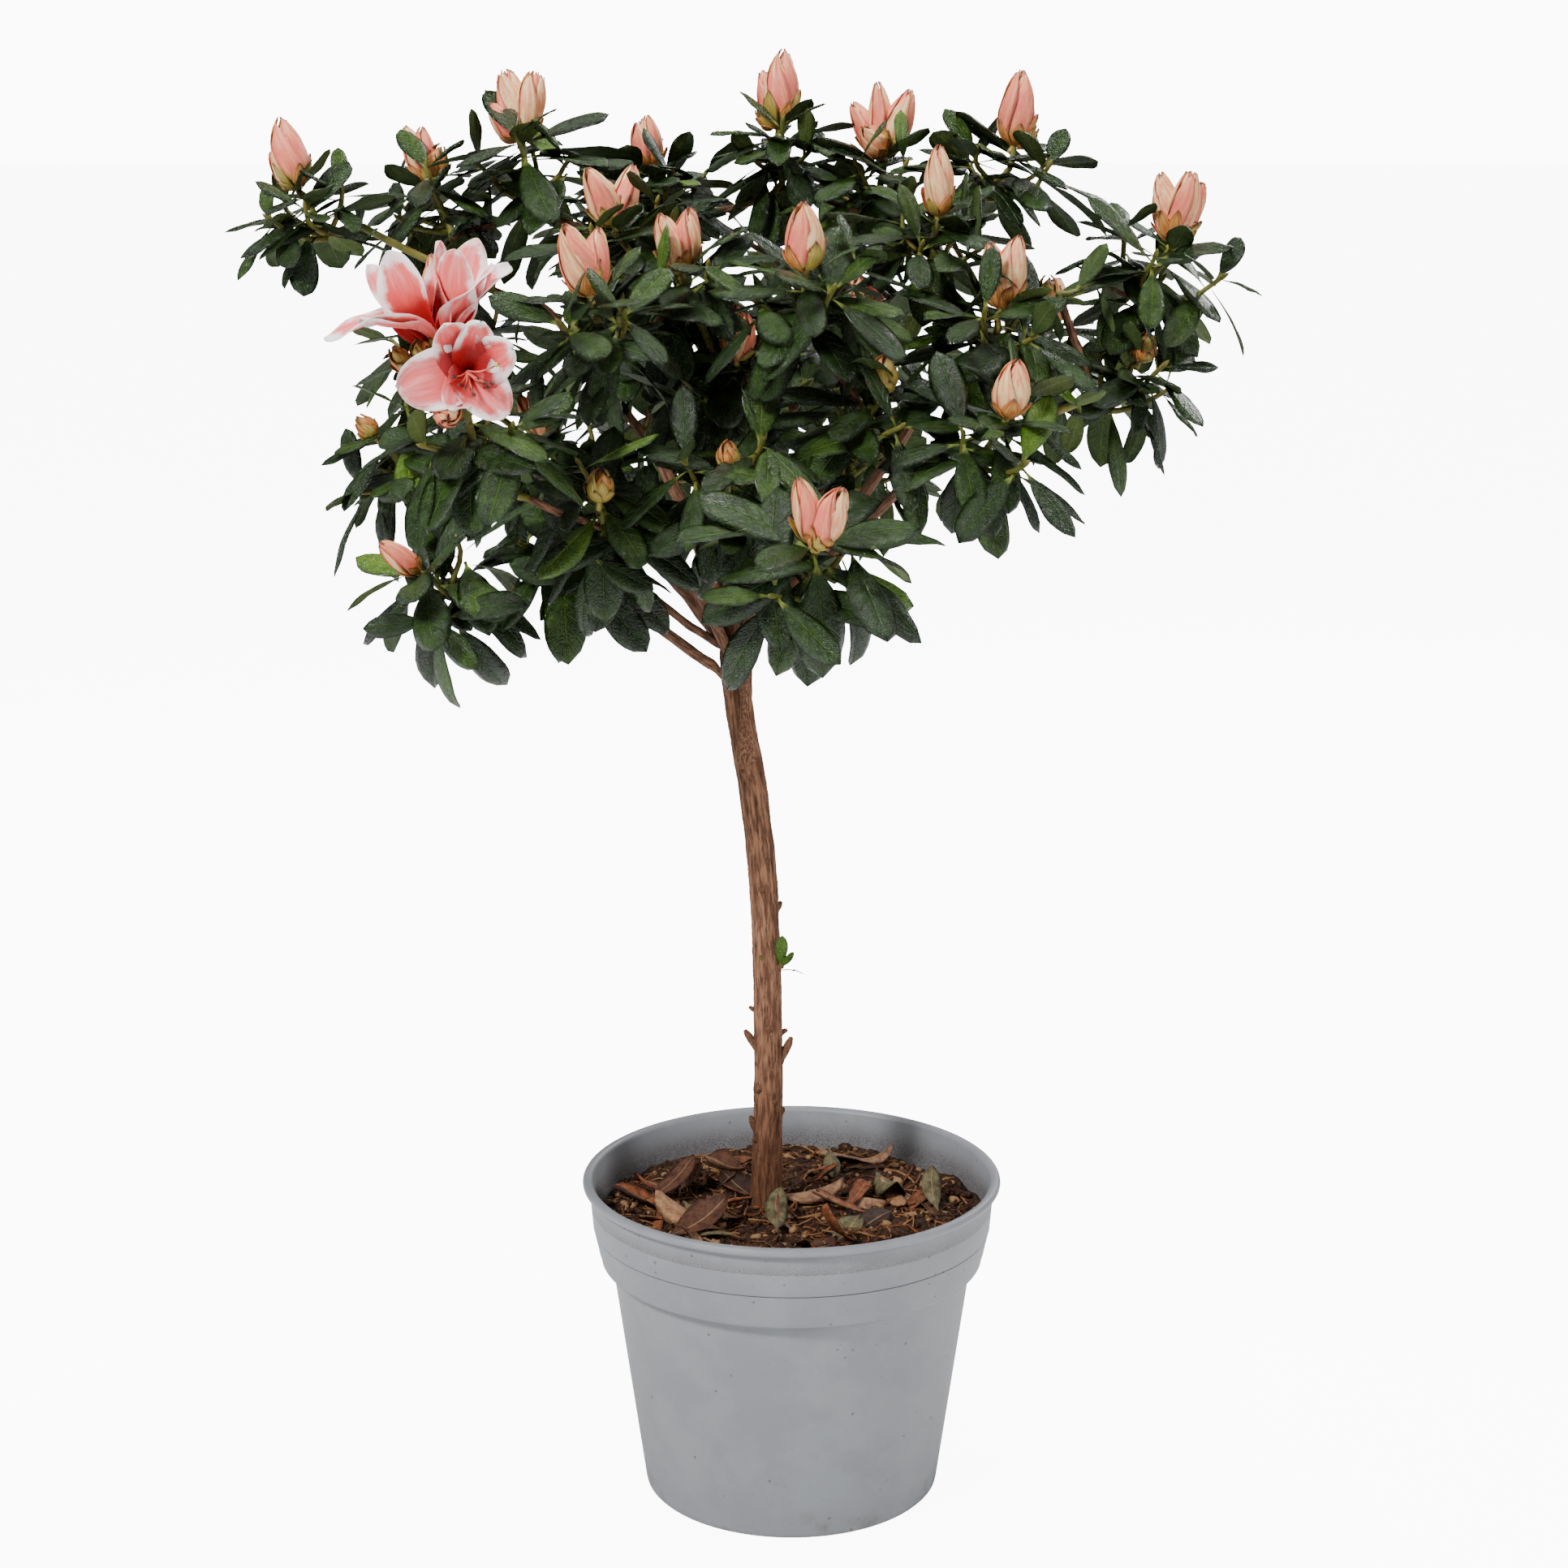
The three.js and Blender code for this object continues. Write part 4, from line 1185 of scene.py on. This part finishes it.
def growMass(node):
    kind = node.replace("foliage_", "")
    middle, half = massOf(node)
    store = leafStores[storeFor(node)]
    storeNodes[storeFor(node)].append(node)
    axis = shootAxis(middle)
    middle = middle + np.array(tipShift.get(kind, (0, 0, 0))) * mm
    hub = middle - axis * half.mean() * 0.5
    spot = nearestWood(hub)[0]
    start, startWay = woodPoints[spot], woodWays[spot]
    path, radii = growTwig(oldWood, start, unit(startWay + unit(hub - start)), hub, axis,
                           min(1.9, woodThick[spot] / mm * 0.8), 1.25, green=0.5)
    noteWood(path[2:], radii[2:])
    # the leading shoot
    tip = middle + axis * half.mean() * 0.04
    growTwig(youngWood, hub - axis * 0.5 * mm, axis, tip, axis, 1.3, crown["shootRadius"], 9)
    drop = 1.0 + 1.6 * float(np.clip((400 * mm - middle[2]) / (70 * mm), 0, 1))
    leavesAlong(store, path[len(path) // 2:], 28, 8.0, drop)
    size = sprayLeaf.get(kind, random.uniform(31, 34))
    growRosette(store, tip, axis, crown["rosetteLeaves"], size, high=28, drop=drop)
    noteBuds(kind, tip, axis)
    # a second whorl lower on the same shoot
    growRosette(store, hub + axis * 3 * mm, axis, 4, size * 0.92, -38, 0, 2.2, drop)
    # side shoots over the rest of the mass
    side = sideOf(axis)
    counts = crown["sideShoots"]
    count = counts["core"] if "core" in kind else counts["back"] if "back" in kind else counts["rim"]
    if middle[2] < crown["lowTop"] * mm and middle[1] < crown["lowBack"] * mm:
        count = counts["low"]
    turn = random.uniform(0, 360)
    for i in range(count):
        out = turned(side, axis, math.radians(turn + 360 * (i + random.uniform(-0.25, 0.25)) / count))
        rise = random.uniform(-0.75, 0.35) if kind != "bloom" else random.uniform(-0.9, -0.35)
        offset = unit(out + axis * rise) * half * random.uniform(0.48, 0.68)
        place = middle + offset
        shoot = unit(shootAxis(place) + unit(offset) * 0.55)
        leave = hub - axis * random.uniform(0, 6) * mm
        growTwig(youngWood, leave, unit(out + axis * 0.3), place, shoot, 1.05, 0.75, 8, pointed=True)
        growRosette(store, place, shoot, random.randint(6, 7), size * random.uniform(0.82, 0.98),
                    -22, 40, 1.5, drop)
        if random.random() < 0.25:
            growRosette(store, place - shoot * 9 * mm, shoot, 3, size * 0.8, -40, -5, 2.4, drop)


def growCrown():
    for node in twigNodes:
        line, radii = limbLine(node, 10)
        spot = int(np.argmin(np.linalg.norm(np.array(woodPoints) - line[0], axis=1)))
        line = np.vstack([woodPoints[spot], line])
        radii = np.concatenate([radii[:1] * 1.1, radii])
        limb = curveThrough(line, 24)
        thick = np.interp(np.linspace(0, 1, 24), np.linspace(0, 1, len(radii)), radii)
        addTube(oldWood, limb[:15], thick[:15], 12)
        addTube(youngWood, limb[14:], thick[14:] * 1.02, 12)
        noteWood(limb[4:], thick[4:])
        leavesAlong(leafStores["left" if limb[-1][0] < 0 else "right"], limb[10:], 24, 8.5, 1.0)
    waiting = list(massNodes)
    while waiting:
        # the mass that is nearest to the wood so far comes next
        reach = [nearestWood(massOf(node)[0])[1].min() for node in waiting]
        growMass(waiting.pop(int(np.argmin(reach))))


def growSprout():
    # a few small leaves that have broken from the stem
    i = int(np.argmin(abs(stemLine[:, 2] - 192 * mm)))
    out = np.array([0.86, -0.5, 0.0])
    base = stemLine[i] + out * stemRadii[i] * 1.15
    for lean, rise, length, share in ((0.05, 1.0, 13, 0.5), (-0.75, 0.75, 9, 0.5), (0.7, 0.9, 8, 0.42),
                                      (0.3, 0.6, 7, 0.4)):
        way = np.array([lean, -0.3, rise])
        leafStores["front"].note(base + up * 0.8 * mm, way, np.array([0.1, -1.0, 0.3]),
                                 length, length * share,
                                 droop=10, tint=3)
    leafStores["front"].note(base, np.array([1.0, -0.2, 0.25]), up, 9, 0.9, droop=50, tint=3)


growCrown()
growSprout()
twigBark = makeBark("twigBark", 8.0, 7.0, rgb(72, 62, 30), 0.62)
finishPiece(oldWood.build("twigs_old", [twigBark]), twigNodes)
finishPiece(youngWood.build("twigs_young", [makeGreenWood()]))
leafSet = leafMaterials()
for name, store in leafStores.items():
    heap = Heap()
    store.shape(heap)
    finishPiece(heap.build("leaves_" + name, leafSet), storeNodes[name])
print("crown grown,", sum(len(store.rows) for store in leafStores.values()), "leaves")


# Buds

bud = {
    "pink": rgb(236, 104, 92),
    "cream": rgb(252, 212, 150),
    "peach": rgb(243, 146, 104),
    "seam": rgb(160, 78, 48),
    "scale": rgb(172, 92, 34),
    "scaleEdge": rgb(104, 56, 26),
    "heel": rgb(140, 128, 48),
    "petals": 5,
    "lap": 0.4,
}


def makeBudPetal(name, main, second):
    material, tree, shader = newMaterial(name, Roughness=0.42, Specular_IOR_Level=0.4,
                                         Subsurface_Weight=0.12, Subsurface_Scale=0.004)
    shader["Subsurface Radius"].default_value = (1.0, 0.45, 0.3)
    streaks = useGroup(tree, streakGroup, Count=5.0, Wander=1.4)["Streaks"]
    fine = useGroup(tree, streakGroup, Count=24.0, Wander=3.0)["Streaks"]
    cloud = useGroup(tree, grainGroup, Size=5.0)["Grain"]
    along, across = shapeShares(tree)
    shade = mixed(tree, ramp(tree, streaks, 0.4, 0.58), main, second)
    shade = mixed(tree, ramp(tree, fine, 0.5, 0.72, 0.0, 0.5), shade, bud["cream"])
    shade = mixed(tree, ramp(tree, cloud, 0.52, 0.68, 0.0, 0.55), shade, bud["pink"])
    away = maths(tree, "MULTIPLY", maths(tree, "ABSOLUTE", maths(tree, "SUBTRACT", across, 0.5)), 2.0)
    edge = ramp(tree, maths(tree, "ADD", away, maths(tree, "MULTIPLY", fine, 0.25)), 0.98, 1.14, 0.0, 0.55)
    shade = mixed(tree, edge, shade, bud["seam"])
    tip = ramp(tree, maths(tree, "ADD", along, maths(tree, "MULTIPLY", fine, 0.12)), 0.98, 1.08)
    shade = mixed(tree, tip, shade, bud["seam"])
    heel = ramp(tree, maths(tree, "SUBTRACT", along, maths(tree, "MULTIPLY", fine, 0.2)), 0.12, -0.05)
    shade = mixed(tree, heel, shade, rgb(196, 168, 92))
    tree.links.new(shade, shader["Base Color"])
    bumpTo(tree, shader["Normal"], maths(tree, "ADD", fine, streaks), 0.35, 0.6)
    return material


def makeScaleMaterial(name, main, second):
    material, tree, shader = newMaterial(name, Roughness=0.45, Specular_IOR_Level=0.45)
    streaks = useGroup(tree, streakGroup, Count=8.0, Wander=1.8)["Streaks"]
    along = shapeShares(tree)[0]
    shade = mixed(tree, ramp(tree, streaks, 0.35, 0.68), main, second)
    edge = ramp(tree, maths(tree, "ADD", along, maths(tree, "MULTIPLY", streaks, 0.2)), 0.82, 1.1)
    shade = mixed(tree, edge, shade, bud["scaleEdge"])
    tree.links.new(shade, shader["Base Color"])
    bumpTo(tree, shader["Normal"], streaks, 0.3, 0.6)
    return material


def budCurve(t):
    return t**0.5 * (1 - t)**0.8 / 0.4249


def wrapSheet(base, axis, spin, length, width, start, end, halfAngle, lap=0.0, flare=0.0, twist=0.0,
              rows=10, wide=7, tipPower=3.0):
    # part of a bud's skin: a sector of an egg shape, one edge lapped over the next sector
    s = np.linspace(0, 1, rows)[:, None]
    v = np.linspace(-1, 1, wide)[None]
    t = start + (end - start) * s
    radius = np.maximum(budCurve(np.clip(t, 0, 1)), 0.0) * width / 2 + 0.15
    open_ = math.radians(halfAngle) * np.maximum(1 - s**tipPower, 0.015)
    angle = math.radians(spin) + open_ * v + math.radians(twist) * s
    crease = np.array([[noise.noise(Vector((a * 2.6 + spin, b * 2.2, spin * 0.7))) for b in v[0]]
                       for a in s[:, 0]])
    radius = radius + lap * v + flare * s**2 + crease * width * 0.055 * np.sin(np.pi * np.clip(t, 0, 1))
    side = sideOf(axis)
    other = np.cross(axis, side)
    x, y = radius * np.cos(angle), radius * np.sin(angle)
    z = length * t + np.zeros_like(v)
    grid = x[..., None] * side + y[..., None] * other + z[..., None] * axis
    # the under face looks at the middle of the bud
    return base + grid[:, ::-1] * mm, s[:, 0], v[0]


def addBud(heap, base, axis, kind, length, width):
    spin = random.uniform(0, 360)
    rows = []
    if kind == "scaly":
        for ring, (start, end, count, open_) in enumerate(((0.28, 1.0, 4, 68), (0.1, 0.8, 5, 52),
                                                          (0.0, 0.5, 5, 46))):
            for k in range(count):
                rows.append((spin + 360 * k / count + ring * 40 + random.gauss(0, 5), start,
                             end * random.uniform(0.93, 1.0), open_, 0.25 + 0.35 * ring,
                             random.uniform(0, 0.5), random.uniform(4, 16), random.choice((3, 4, 4)), 2.2))
    else:
        flare = 1.7 if kind == "open" else 0.25
        twist = random.choice((-1, 1)) * random.uniform(34, 62)
        for k in range(3):
            # the petals inside
            rows.append((spin + 40 + 120 * k, 0.2, 0.985, 84, -0.5, flare * 0.3, twist,
                         random.choice((0, 1)), 6.0))
        for k in range(bud["petals"]):
            rows.append((spin + 360 * k / bud["petals"] + random.gauss(0, 4), 0.03,
                         random.uniform(0.93, 1.0), 54, 0.15, flare * random.uniform(0.5, 1.3), twist,
                         random.choice((0, 0, 1, 2)), 4.2))
        for k in range(5):
            rows.append((spin + 20 + 72 * k + random.gauss(0, 8), -0.02, random.uniform(0.26, 0.5), 42,
                         0.75, random.uniform(0.2, 1.1), 4, random.choice((3, 3, 3, 4)), 2.0))
    for turn, start, end, open_, lap, flare, twist, paint, power in rows:
        offset = lap * 0.9
        grid, s, v = wrapSheet(base, axis, turn, length, width + 2 * offset, start, end, open_,
                               bud["lap"], flare, twist, tipPower=power)
        addSheets(heap, grid[None], 0.32 * mm, paint, paint, s, v)
    # a short stalk and a plain heart so that no gap shows through
    path = base + axis * (np.linspace(-3.2, length * 0.9, 12) * mm)[:, None]
    t = np.clip(np.linspace(-3.2, length * 0.9, 12) / length, 0, 1)
    radii = np.maximum(budCurve(t) * width / 2 * 0.8, 0.9) * mm
    radii[-1] = 0.3 * mm
    addTube(heap, path, radii, 10, 5)


def growBuds():
    # the buds on the back half are a piece of their own
    heaps = {"buds_front": Heap(), "buds_back": Heap()}
    for place in budPlaces:
        addBud(heaps["buds_back" if place[0][1] > 0 else "buds_front"], *place)
    return heaps


budMaterials = [makeBudPetal("budPink", bud["pink"], bud["peach"]),
                makeBudPetal("budCream", bud["cream"], bud["peach"]),
                makeBudPetal("budPeach", bud["peach"], bud["cream"]),
                makeScaleMaterial("scaleAmber", bud["scale"], rgb(206, 158, 88)),
                makeScaleMaterial("scaleGreen", bud["heel"], rgb(190, 160, 80)),
                makeScaleMaterial("budHeart", rgb(176, 160, 84), rgb(150, 120, 60))]
for name, heap in growBuds().items():
    finishPiece(heap.build(name, budMaterials))
print("buds made")


# Open flowers

flowers = {
    "leftOne": {
        "base": (-105.5, -121, 418), "axis": (-0.5, -0.25, 0.8),
        # where each petal points, its length, width, how far it rolls back, and its two tints
        "petals": [((-1.0, -0.3, 0.1), 33, 19, 26, 0, 1), ((-0.92, -0.6, 0.42), 26, 13, -10, 0, 1),
                   ((-0.5, -0.05, 1.0), 31, 17, 6, 6, 1), ((-0.84, 0.3, 0.95), 32, 12, 4, 0, 1),
                   ((0.0, 0.3, 1.0), 25, 9, 2, 6, 1), ((-0.3, 0.75, 0.75), 27, 14, 8, 6, 1)],
    },
    "rightOne": {
        "base": (-103.5, -119, 418), "axis": (0.3, -0.1, 1.0),
        "petals": [((0.2, -0.36, 1.0), 31, 15, -2, 6, 1), ((0.62, -0.16, 0.95), 29, 15, 2, 6, 1),
                   ((0.3, 0.3, 1.0), 34, 14, 6, 6, 1), ((0.82, 0.3, 1.0), 31, 12, 14, 0, 1),
                   ((-0.06, 0.05, 1.0), 31, 11, 2, 6, 1)],
    },
    "lowOne": {
        "base": (-96.5, -121, 411), "axis": (0.14, -1.0, 0.12),
        "petals": [((-1.0, -0.5, -0.28), 22, 19, 34, 0, 1), ((0.62, -0.6, -0.66), 21, 16, 28, 6, 1),
                   ((-0.3, -0.9, 0.86), 22, 15, -20, 7, 1), ((0.82, -0.86, 0.42), 22, 15, -20, 7, 1),
                   ((0.34, -0.9, 0.98), 21, 13, -12, 7, 1), ((-0.28, -0.98, -0.72), 18, 12, 2, 6, 1)],
    },
    "throat": rgb(150, 8, 14),
    "flush": rgb(226, 62, 58),
    "pink": rgb(238, 98, 98),
    "pale": rgb(246, 150, 146),
    "edge": rgb(255, 246, 243),
    "heel": rgb(222, 92, 52),
    "stamens": 9,
}


def makePetalMaterial(name, near, middle, reach, share):
    # deep at the throat, pink along the middle, with a ragged white edge
    material, tree, shader = newMaterial(name, Roughness=0.5, Specular_IOR_Level=0.35,
                                         Subsurface_Weight=0.15, Subsurface_Scale=0.003)
    shader["Subsurface Radius"].default_value = (1.0, 0.5, 0.4)
    along, across = shapeShares(tree)
    streaks = useGroup(tree, streakGroup, Count=5.0, Wander=1.2)["Streaks"]
    fine = useGroup(tree, streakGroup, Count=30.0, Wander=2.4)["Streaks"]
    cloud = useGroup(tree, grainGroup, Size=14.0)["Grain"]
    ragged = maths(tree, "ADD", maths(tree, "MULTIPLY", fine, 0.5), maths(tree, "MULTIPLY", cloud, 2.6))
    uneven = maths(tree, "ADD", along, maths(tree, "MULTIPLY", ragged, 0.15))
    deep = ramp(tree, uneven, reach + 0.35, reach + 0.08)
    flesh = mixed(tree, ramp(tree, streaks, 0.38, 0.66), middle, flowers["pale"])
    mid = ramp(tree, uneven, reach + 0.56, reach + 0.2)
    flush = flowers["flush"] if share < 0.5 else middle
    flesh = mixed(tree, maths(tree, "MULTIPLY", mid, 0.7), flesh, flush)
    away = maths(tree, "MULTIPLY", maths(tree, "ABSOLUTE", maths(tree, "SUBTRACT", across, 0.5)), 2.0)
    toTip = ramp(tree, along, 0.62, 1.0, 0.0, 0.85)
    rim = maths(tree, "ADD", maths(tree, "MAXIMUM", away, toTip), maths(tree, "MULTIPLY", ragged, 0.75))
    white = ramp(tree, rim, 1.8, 2.12)
    white = maths(tree, "MULTIPLY", white, ramp(tree, along, 0.22, 0.45))
    shade = mixed(tree, white, flesh, flowers["edge"])
    shade = mixed(tree, deep, shade, near)
    tree.links.new(shade, shader["Base Color"])
    bumpTo(tree, shader["Normal"], maths(tree, "ADD", fine, maths(tree, "MULTIPLY", streaks, 1.5)), 0.4, 0.6)
    return material


def petalGrid(base, axis, target, length, width, roll, seed):
    # a petal that leaves along the flower's axis and bends over to where it points
    rows = 27
    s = 1 - (1 - np.linspace(0, 1, rows))**1.7
    v = np.sin(np.linspace(-1, 1, 15) * math.pi / 2)
    target = unit(np.array(target))
    out = unit(target - axis * target.dot(axis))
    side = unit(np.cross(axis, out))
    endWay = unit(turned(target, side, math.radians(roll)))
    line = hookCurve(base, axis, base + target * length * mm, endWay, rows, 0.42)
    line = np.column_stack([np.interp(s, np.linspace(0, 1, rows), line[:, k]) for k in range(3)])
    ways = np.gradient(line, axis=0)
    ways /= np.linalg.norm(ways, axis=1)[:, None]
    inner = np.cross(ways, side)
    if inner[0].dot(out) > 0:
        inner = -inner
    blade = np.clip(s + 0.02, 0, 1)**0.62 * np.clip(1 - s, 0, 1)**0.5
    half = np.maximum(blade / blade.max() * width / 2, 1.7 * (1 - s))
    half[-1] = 0.25
    # hollow near the throat, wavy along the edges farther out
    hollow = np.interp(s, (0, 0.35, 0.7, 1), (0.62, 0.5, 0.2, -0.05))
    wave = np.array([[noise.noise(Vector((seed + a * 3.2, b * 1.3 + seed, 0.5))) for b in v] for a in s])
    grid = (line[:, None] + side * (half[:, None] * v)[..., None] * mm * 0.96
            + inner[:, None] * (hollow[:, None] * v**2 * half[:, None]
                                + 3.4 * wave * (np.abs(v)**1.3) * s[:, None]
                                + 0.25 * np.cos(v * 8) * half[:, None] / 8)[..., None] * mm)
    return grid, s, v


def petalSides(grid, axis, inside, outside):
    # the upper face of a sheet isn't always the one that looks into the flower
    middle = grid[8, 7]
    normal = np.cross(grid[9, 7] - middle, grid[8, 8] - middle)
    toAxis = grid[0, 7] + axis * 0.05 - middle
    return (inside, outside) if normal.dot(toAxis) > 0 else (outside, inside)


def makeFlowers():
    heap = Heap()
    for number, name in enumerate(("leftOne", "rightOne", "lowOne")):
        flower = flowers[name]
        base = np.array(flower["base"], float) * mm
        axis = unit(np.array(flower["axis"]))
        for k, (target, length, width, roll, inside, outside) in enumerate(flower["petals"]):
            start = base + sideOf(axis) * 0.2 * mm * k
            grid, s, v = petalGrid(start, axis, target, length, width, roll, number * 11.3 + k * 4.1)
            addSheets(heap, grid[None], 0.4 * mm, *petalSides(grid, axis, inside, outside), s, v)
        stamens = flowers["stamens"] if name == "lowOne" else 0
        for k in range(stamens + (stamens > 0)):
            style = k == stamens
            # the stamens hang toward the lower lip, and the style reaches out past them
            turn = math.radians(random.uniform(-165, -15))
            out = np.array([0.95, 0, 0.12]) if style else np.array([math.cos(turn), 0, math.sin(turn)])
            reach = 19.5 if style else random.uniform(12, 18)
            end = base + (axis * reach + out * reach * random.uniform(0.3, 0.55)) * mm
            way = unit(axis * 0.6 + out * 0.8 + up * 0.35)
            path = hookCurve(base + axis * 2 * mm, axis, end, way, 12)
            addTube(heap, path, np.linspace(0.34, 0.22, 12) * mm, 7, 2)
            knob = np.array([end + way * d * mm for d in (-0.6, -0.3, 0.2, 0.6, 0.9)])
            knobSize = np.array([0.25, 0.5, 0.6, 0.45, 0.15]) * (1.2 if style else 1.0)
            addTube(heap, knob, knobSize * mm, 8, 4 if style else 3)
        # calyx and stalk
        for k in range(5):
            grid, s, v = wrapSheet(base - axis * 2.5 * mm, axis, 72 * k, 9, 5.4, 0.0, 0.75, 46, 0.2, 0.4)
            addSheets(heap, grid[None], 0.4 * mm, 5, 5, s, v)
        foot = np.array((-100, -117, 401)) * mm
        stalk = hookCurve(foot, up, base + axis * 1.5 * mm, axis, 10)
        addTube(heap, stalk, np.linspace(1.2, 1.5, 10) * mm, 9, 5)
    materials = [makePetalMaterial("petalInside", flowers["throat"], flowers["pink"], 0.34, 0.2),
                 makePetalMaterial("petalOutside", flowers["heel"], flowers["pink"], 0.12, 0.8),
                 makeScaleMaterial("filament", rgb(222, 84, 78), rgb(238, 132, 112)),
                 makeScaleMaterial("anther", rgb(84, 34, 30), rgb(46, 20, 20)),
                 makeScaleMaterial("stigma", rgb(214, 190, 70), rgb(180, 170, 60)),
                 makeScaleMaterial("calyx", rgb(120, 132, 48), rgb(168, 140, 66)),
                 makePetalMaterial("petalDeep", flowers["throat"], flowers["pink"], 0.5, 0.2),
                 makePetalMaterial("petalThroat", flowers["throat"], flowers["pink"], 0.68, 0.2)]
    return finishPiece(heap.build("flowers", materials))


makeFlowers()
print("flowers made")


# Floor, light and camera

studio = {
    "backdrop": 11.0,  # brightness of the backdrop as it is seen
    "ambient": 0.18,  # and of the light that comes from all round
    "floorGlow": 9.6,
    "lamps": {  # place, size, power
        "overhead": ((0.1, 0.2, 1.9), 0.7, 38),
        "key": ((-1.1, -1.2, 1.6), 0.4, 56),
        "fill": ((1.5, -0.9, 0.9), 0.6, 15),
        "rear": ((0.9, 1.5, 1.1), 0.6, 12),
    },
}


def makeFloor():
    heap = Heap()
    rows, columns = 6, 72
    reach = np.array([0.02, 0.3, 0.8, 2.0, 5.0, 12.0, 30.0])
    turn = np.linspace(0, 2 * math.pi, columns, endpoint=False)
    grid = np.stack([np.outer(reach, np.cos(turn)), np.outer(reach, np.sin(turn)),
                     np.zeros((7, columns))], 2)
    points = np.vstack([grid.reshape(-1, 3), [[0, 0, 0]]])
    faces, shares = gridFaces(rows, columns, wrap=True)
    heap.add(points, faces[:, ::-1], shares[:, ::-1])
    j = np.arange(columns)
    heap.more(np.stack([np.full(columns, len(points) - 1), j, (j + 1) % columns], 1),
              np.zeros((columns, 3, 2)), 0)
    material, tree, shader = newMaterial("paleFloor", Roughness=0.7)
    grain = useGroup(tree, grainGroup, Size=14.0)["Grain"]
    tree.links.new(mixed(tree, grain, rgb(240, 240, 240), rgb(245, 245, 245)), shader["Base Color"])
    # the floor glows a little to the camera so that it stays as pale as the backdrop
    seen = put(tree, "LightPath").outputs["Is Camera Ray"]
    shader["Emission Color"].default_value = (1, 1, 1, 1)
    tree.links.new(maths(tree, "MULTIPLY", seen, studio["floorGlow"]), shader["Emission Strength"])
    floor = heap.build("studio_floor", [material])


def addLight(name, place, aim, size, power, tint=(1.0, 1.0, 1.0)):
    lamp = bpy.data.lights.new(name, "AREA")
    lamp.shape = "DISK"
    lamp.size = size
    lamp.energy = power
    lamp.color = tint
    light = bpy.data.objects.new(name, lamp)
    light.location = place
    light.rotation_euler = (Vector(aim) - Vector(place)).to_track_quat("-Z", "Y").to_euler()
    bpy.context.scene.collection.objects.link(light)


def makeStudio():
    makeFloor()
    world = bpy.data.worlds.new("studio")
    world.use_nodes = True
    tree = world.node_tree
    background = tree.nodes["Background"]
    background.inputs["Color"].default_value = (1, 1, 1, 1)
    seen = put(tree, "LightPath").outputs["Is Camera Ray"]
    brightness = maths(tree, "MULTIPLY_ADD", seen, studio["backdrop"] - studio["ambient"], studio["ambient"])
    tree.links.new(brightness, background.inputs["Strength"])
    bpy.context.scene.world = world
    for name, (place, size, power) in studio["lamps"].items():
        addLight(name, place, (0, 0, 0.3), size, power)


def makeCamera():
    camera = bpy.data.cameras.new("camera")
    camera.sensor_width = 36
    camera.lens = 67.86
    camera.clip_start, camera.clip_end = 0.05, 60
    view = bpy.data.objects.new("camera", camera)
    view.location = (-0.0027, -1.0, 0.485)
    view.rotation_euler = (math.radians(90 - 12.77), 0, 0)
    bpy.context.scene.collection.objects.link(view)
    bpy.context.scene.camera = view


makeStudio()
makeCamera()
print("studio set")
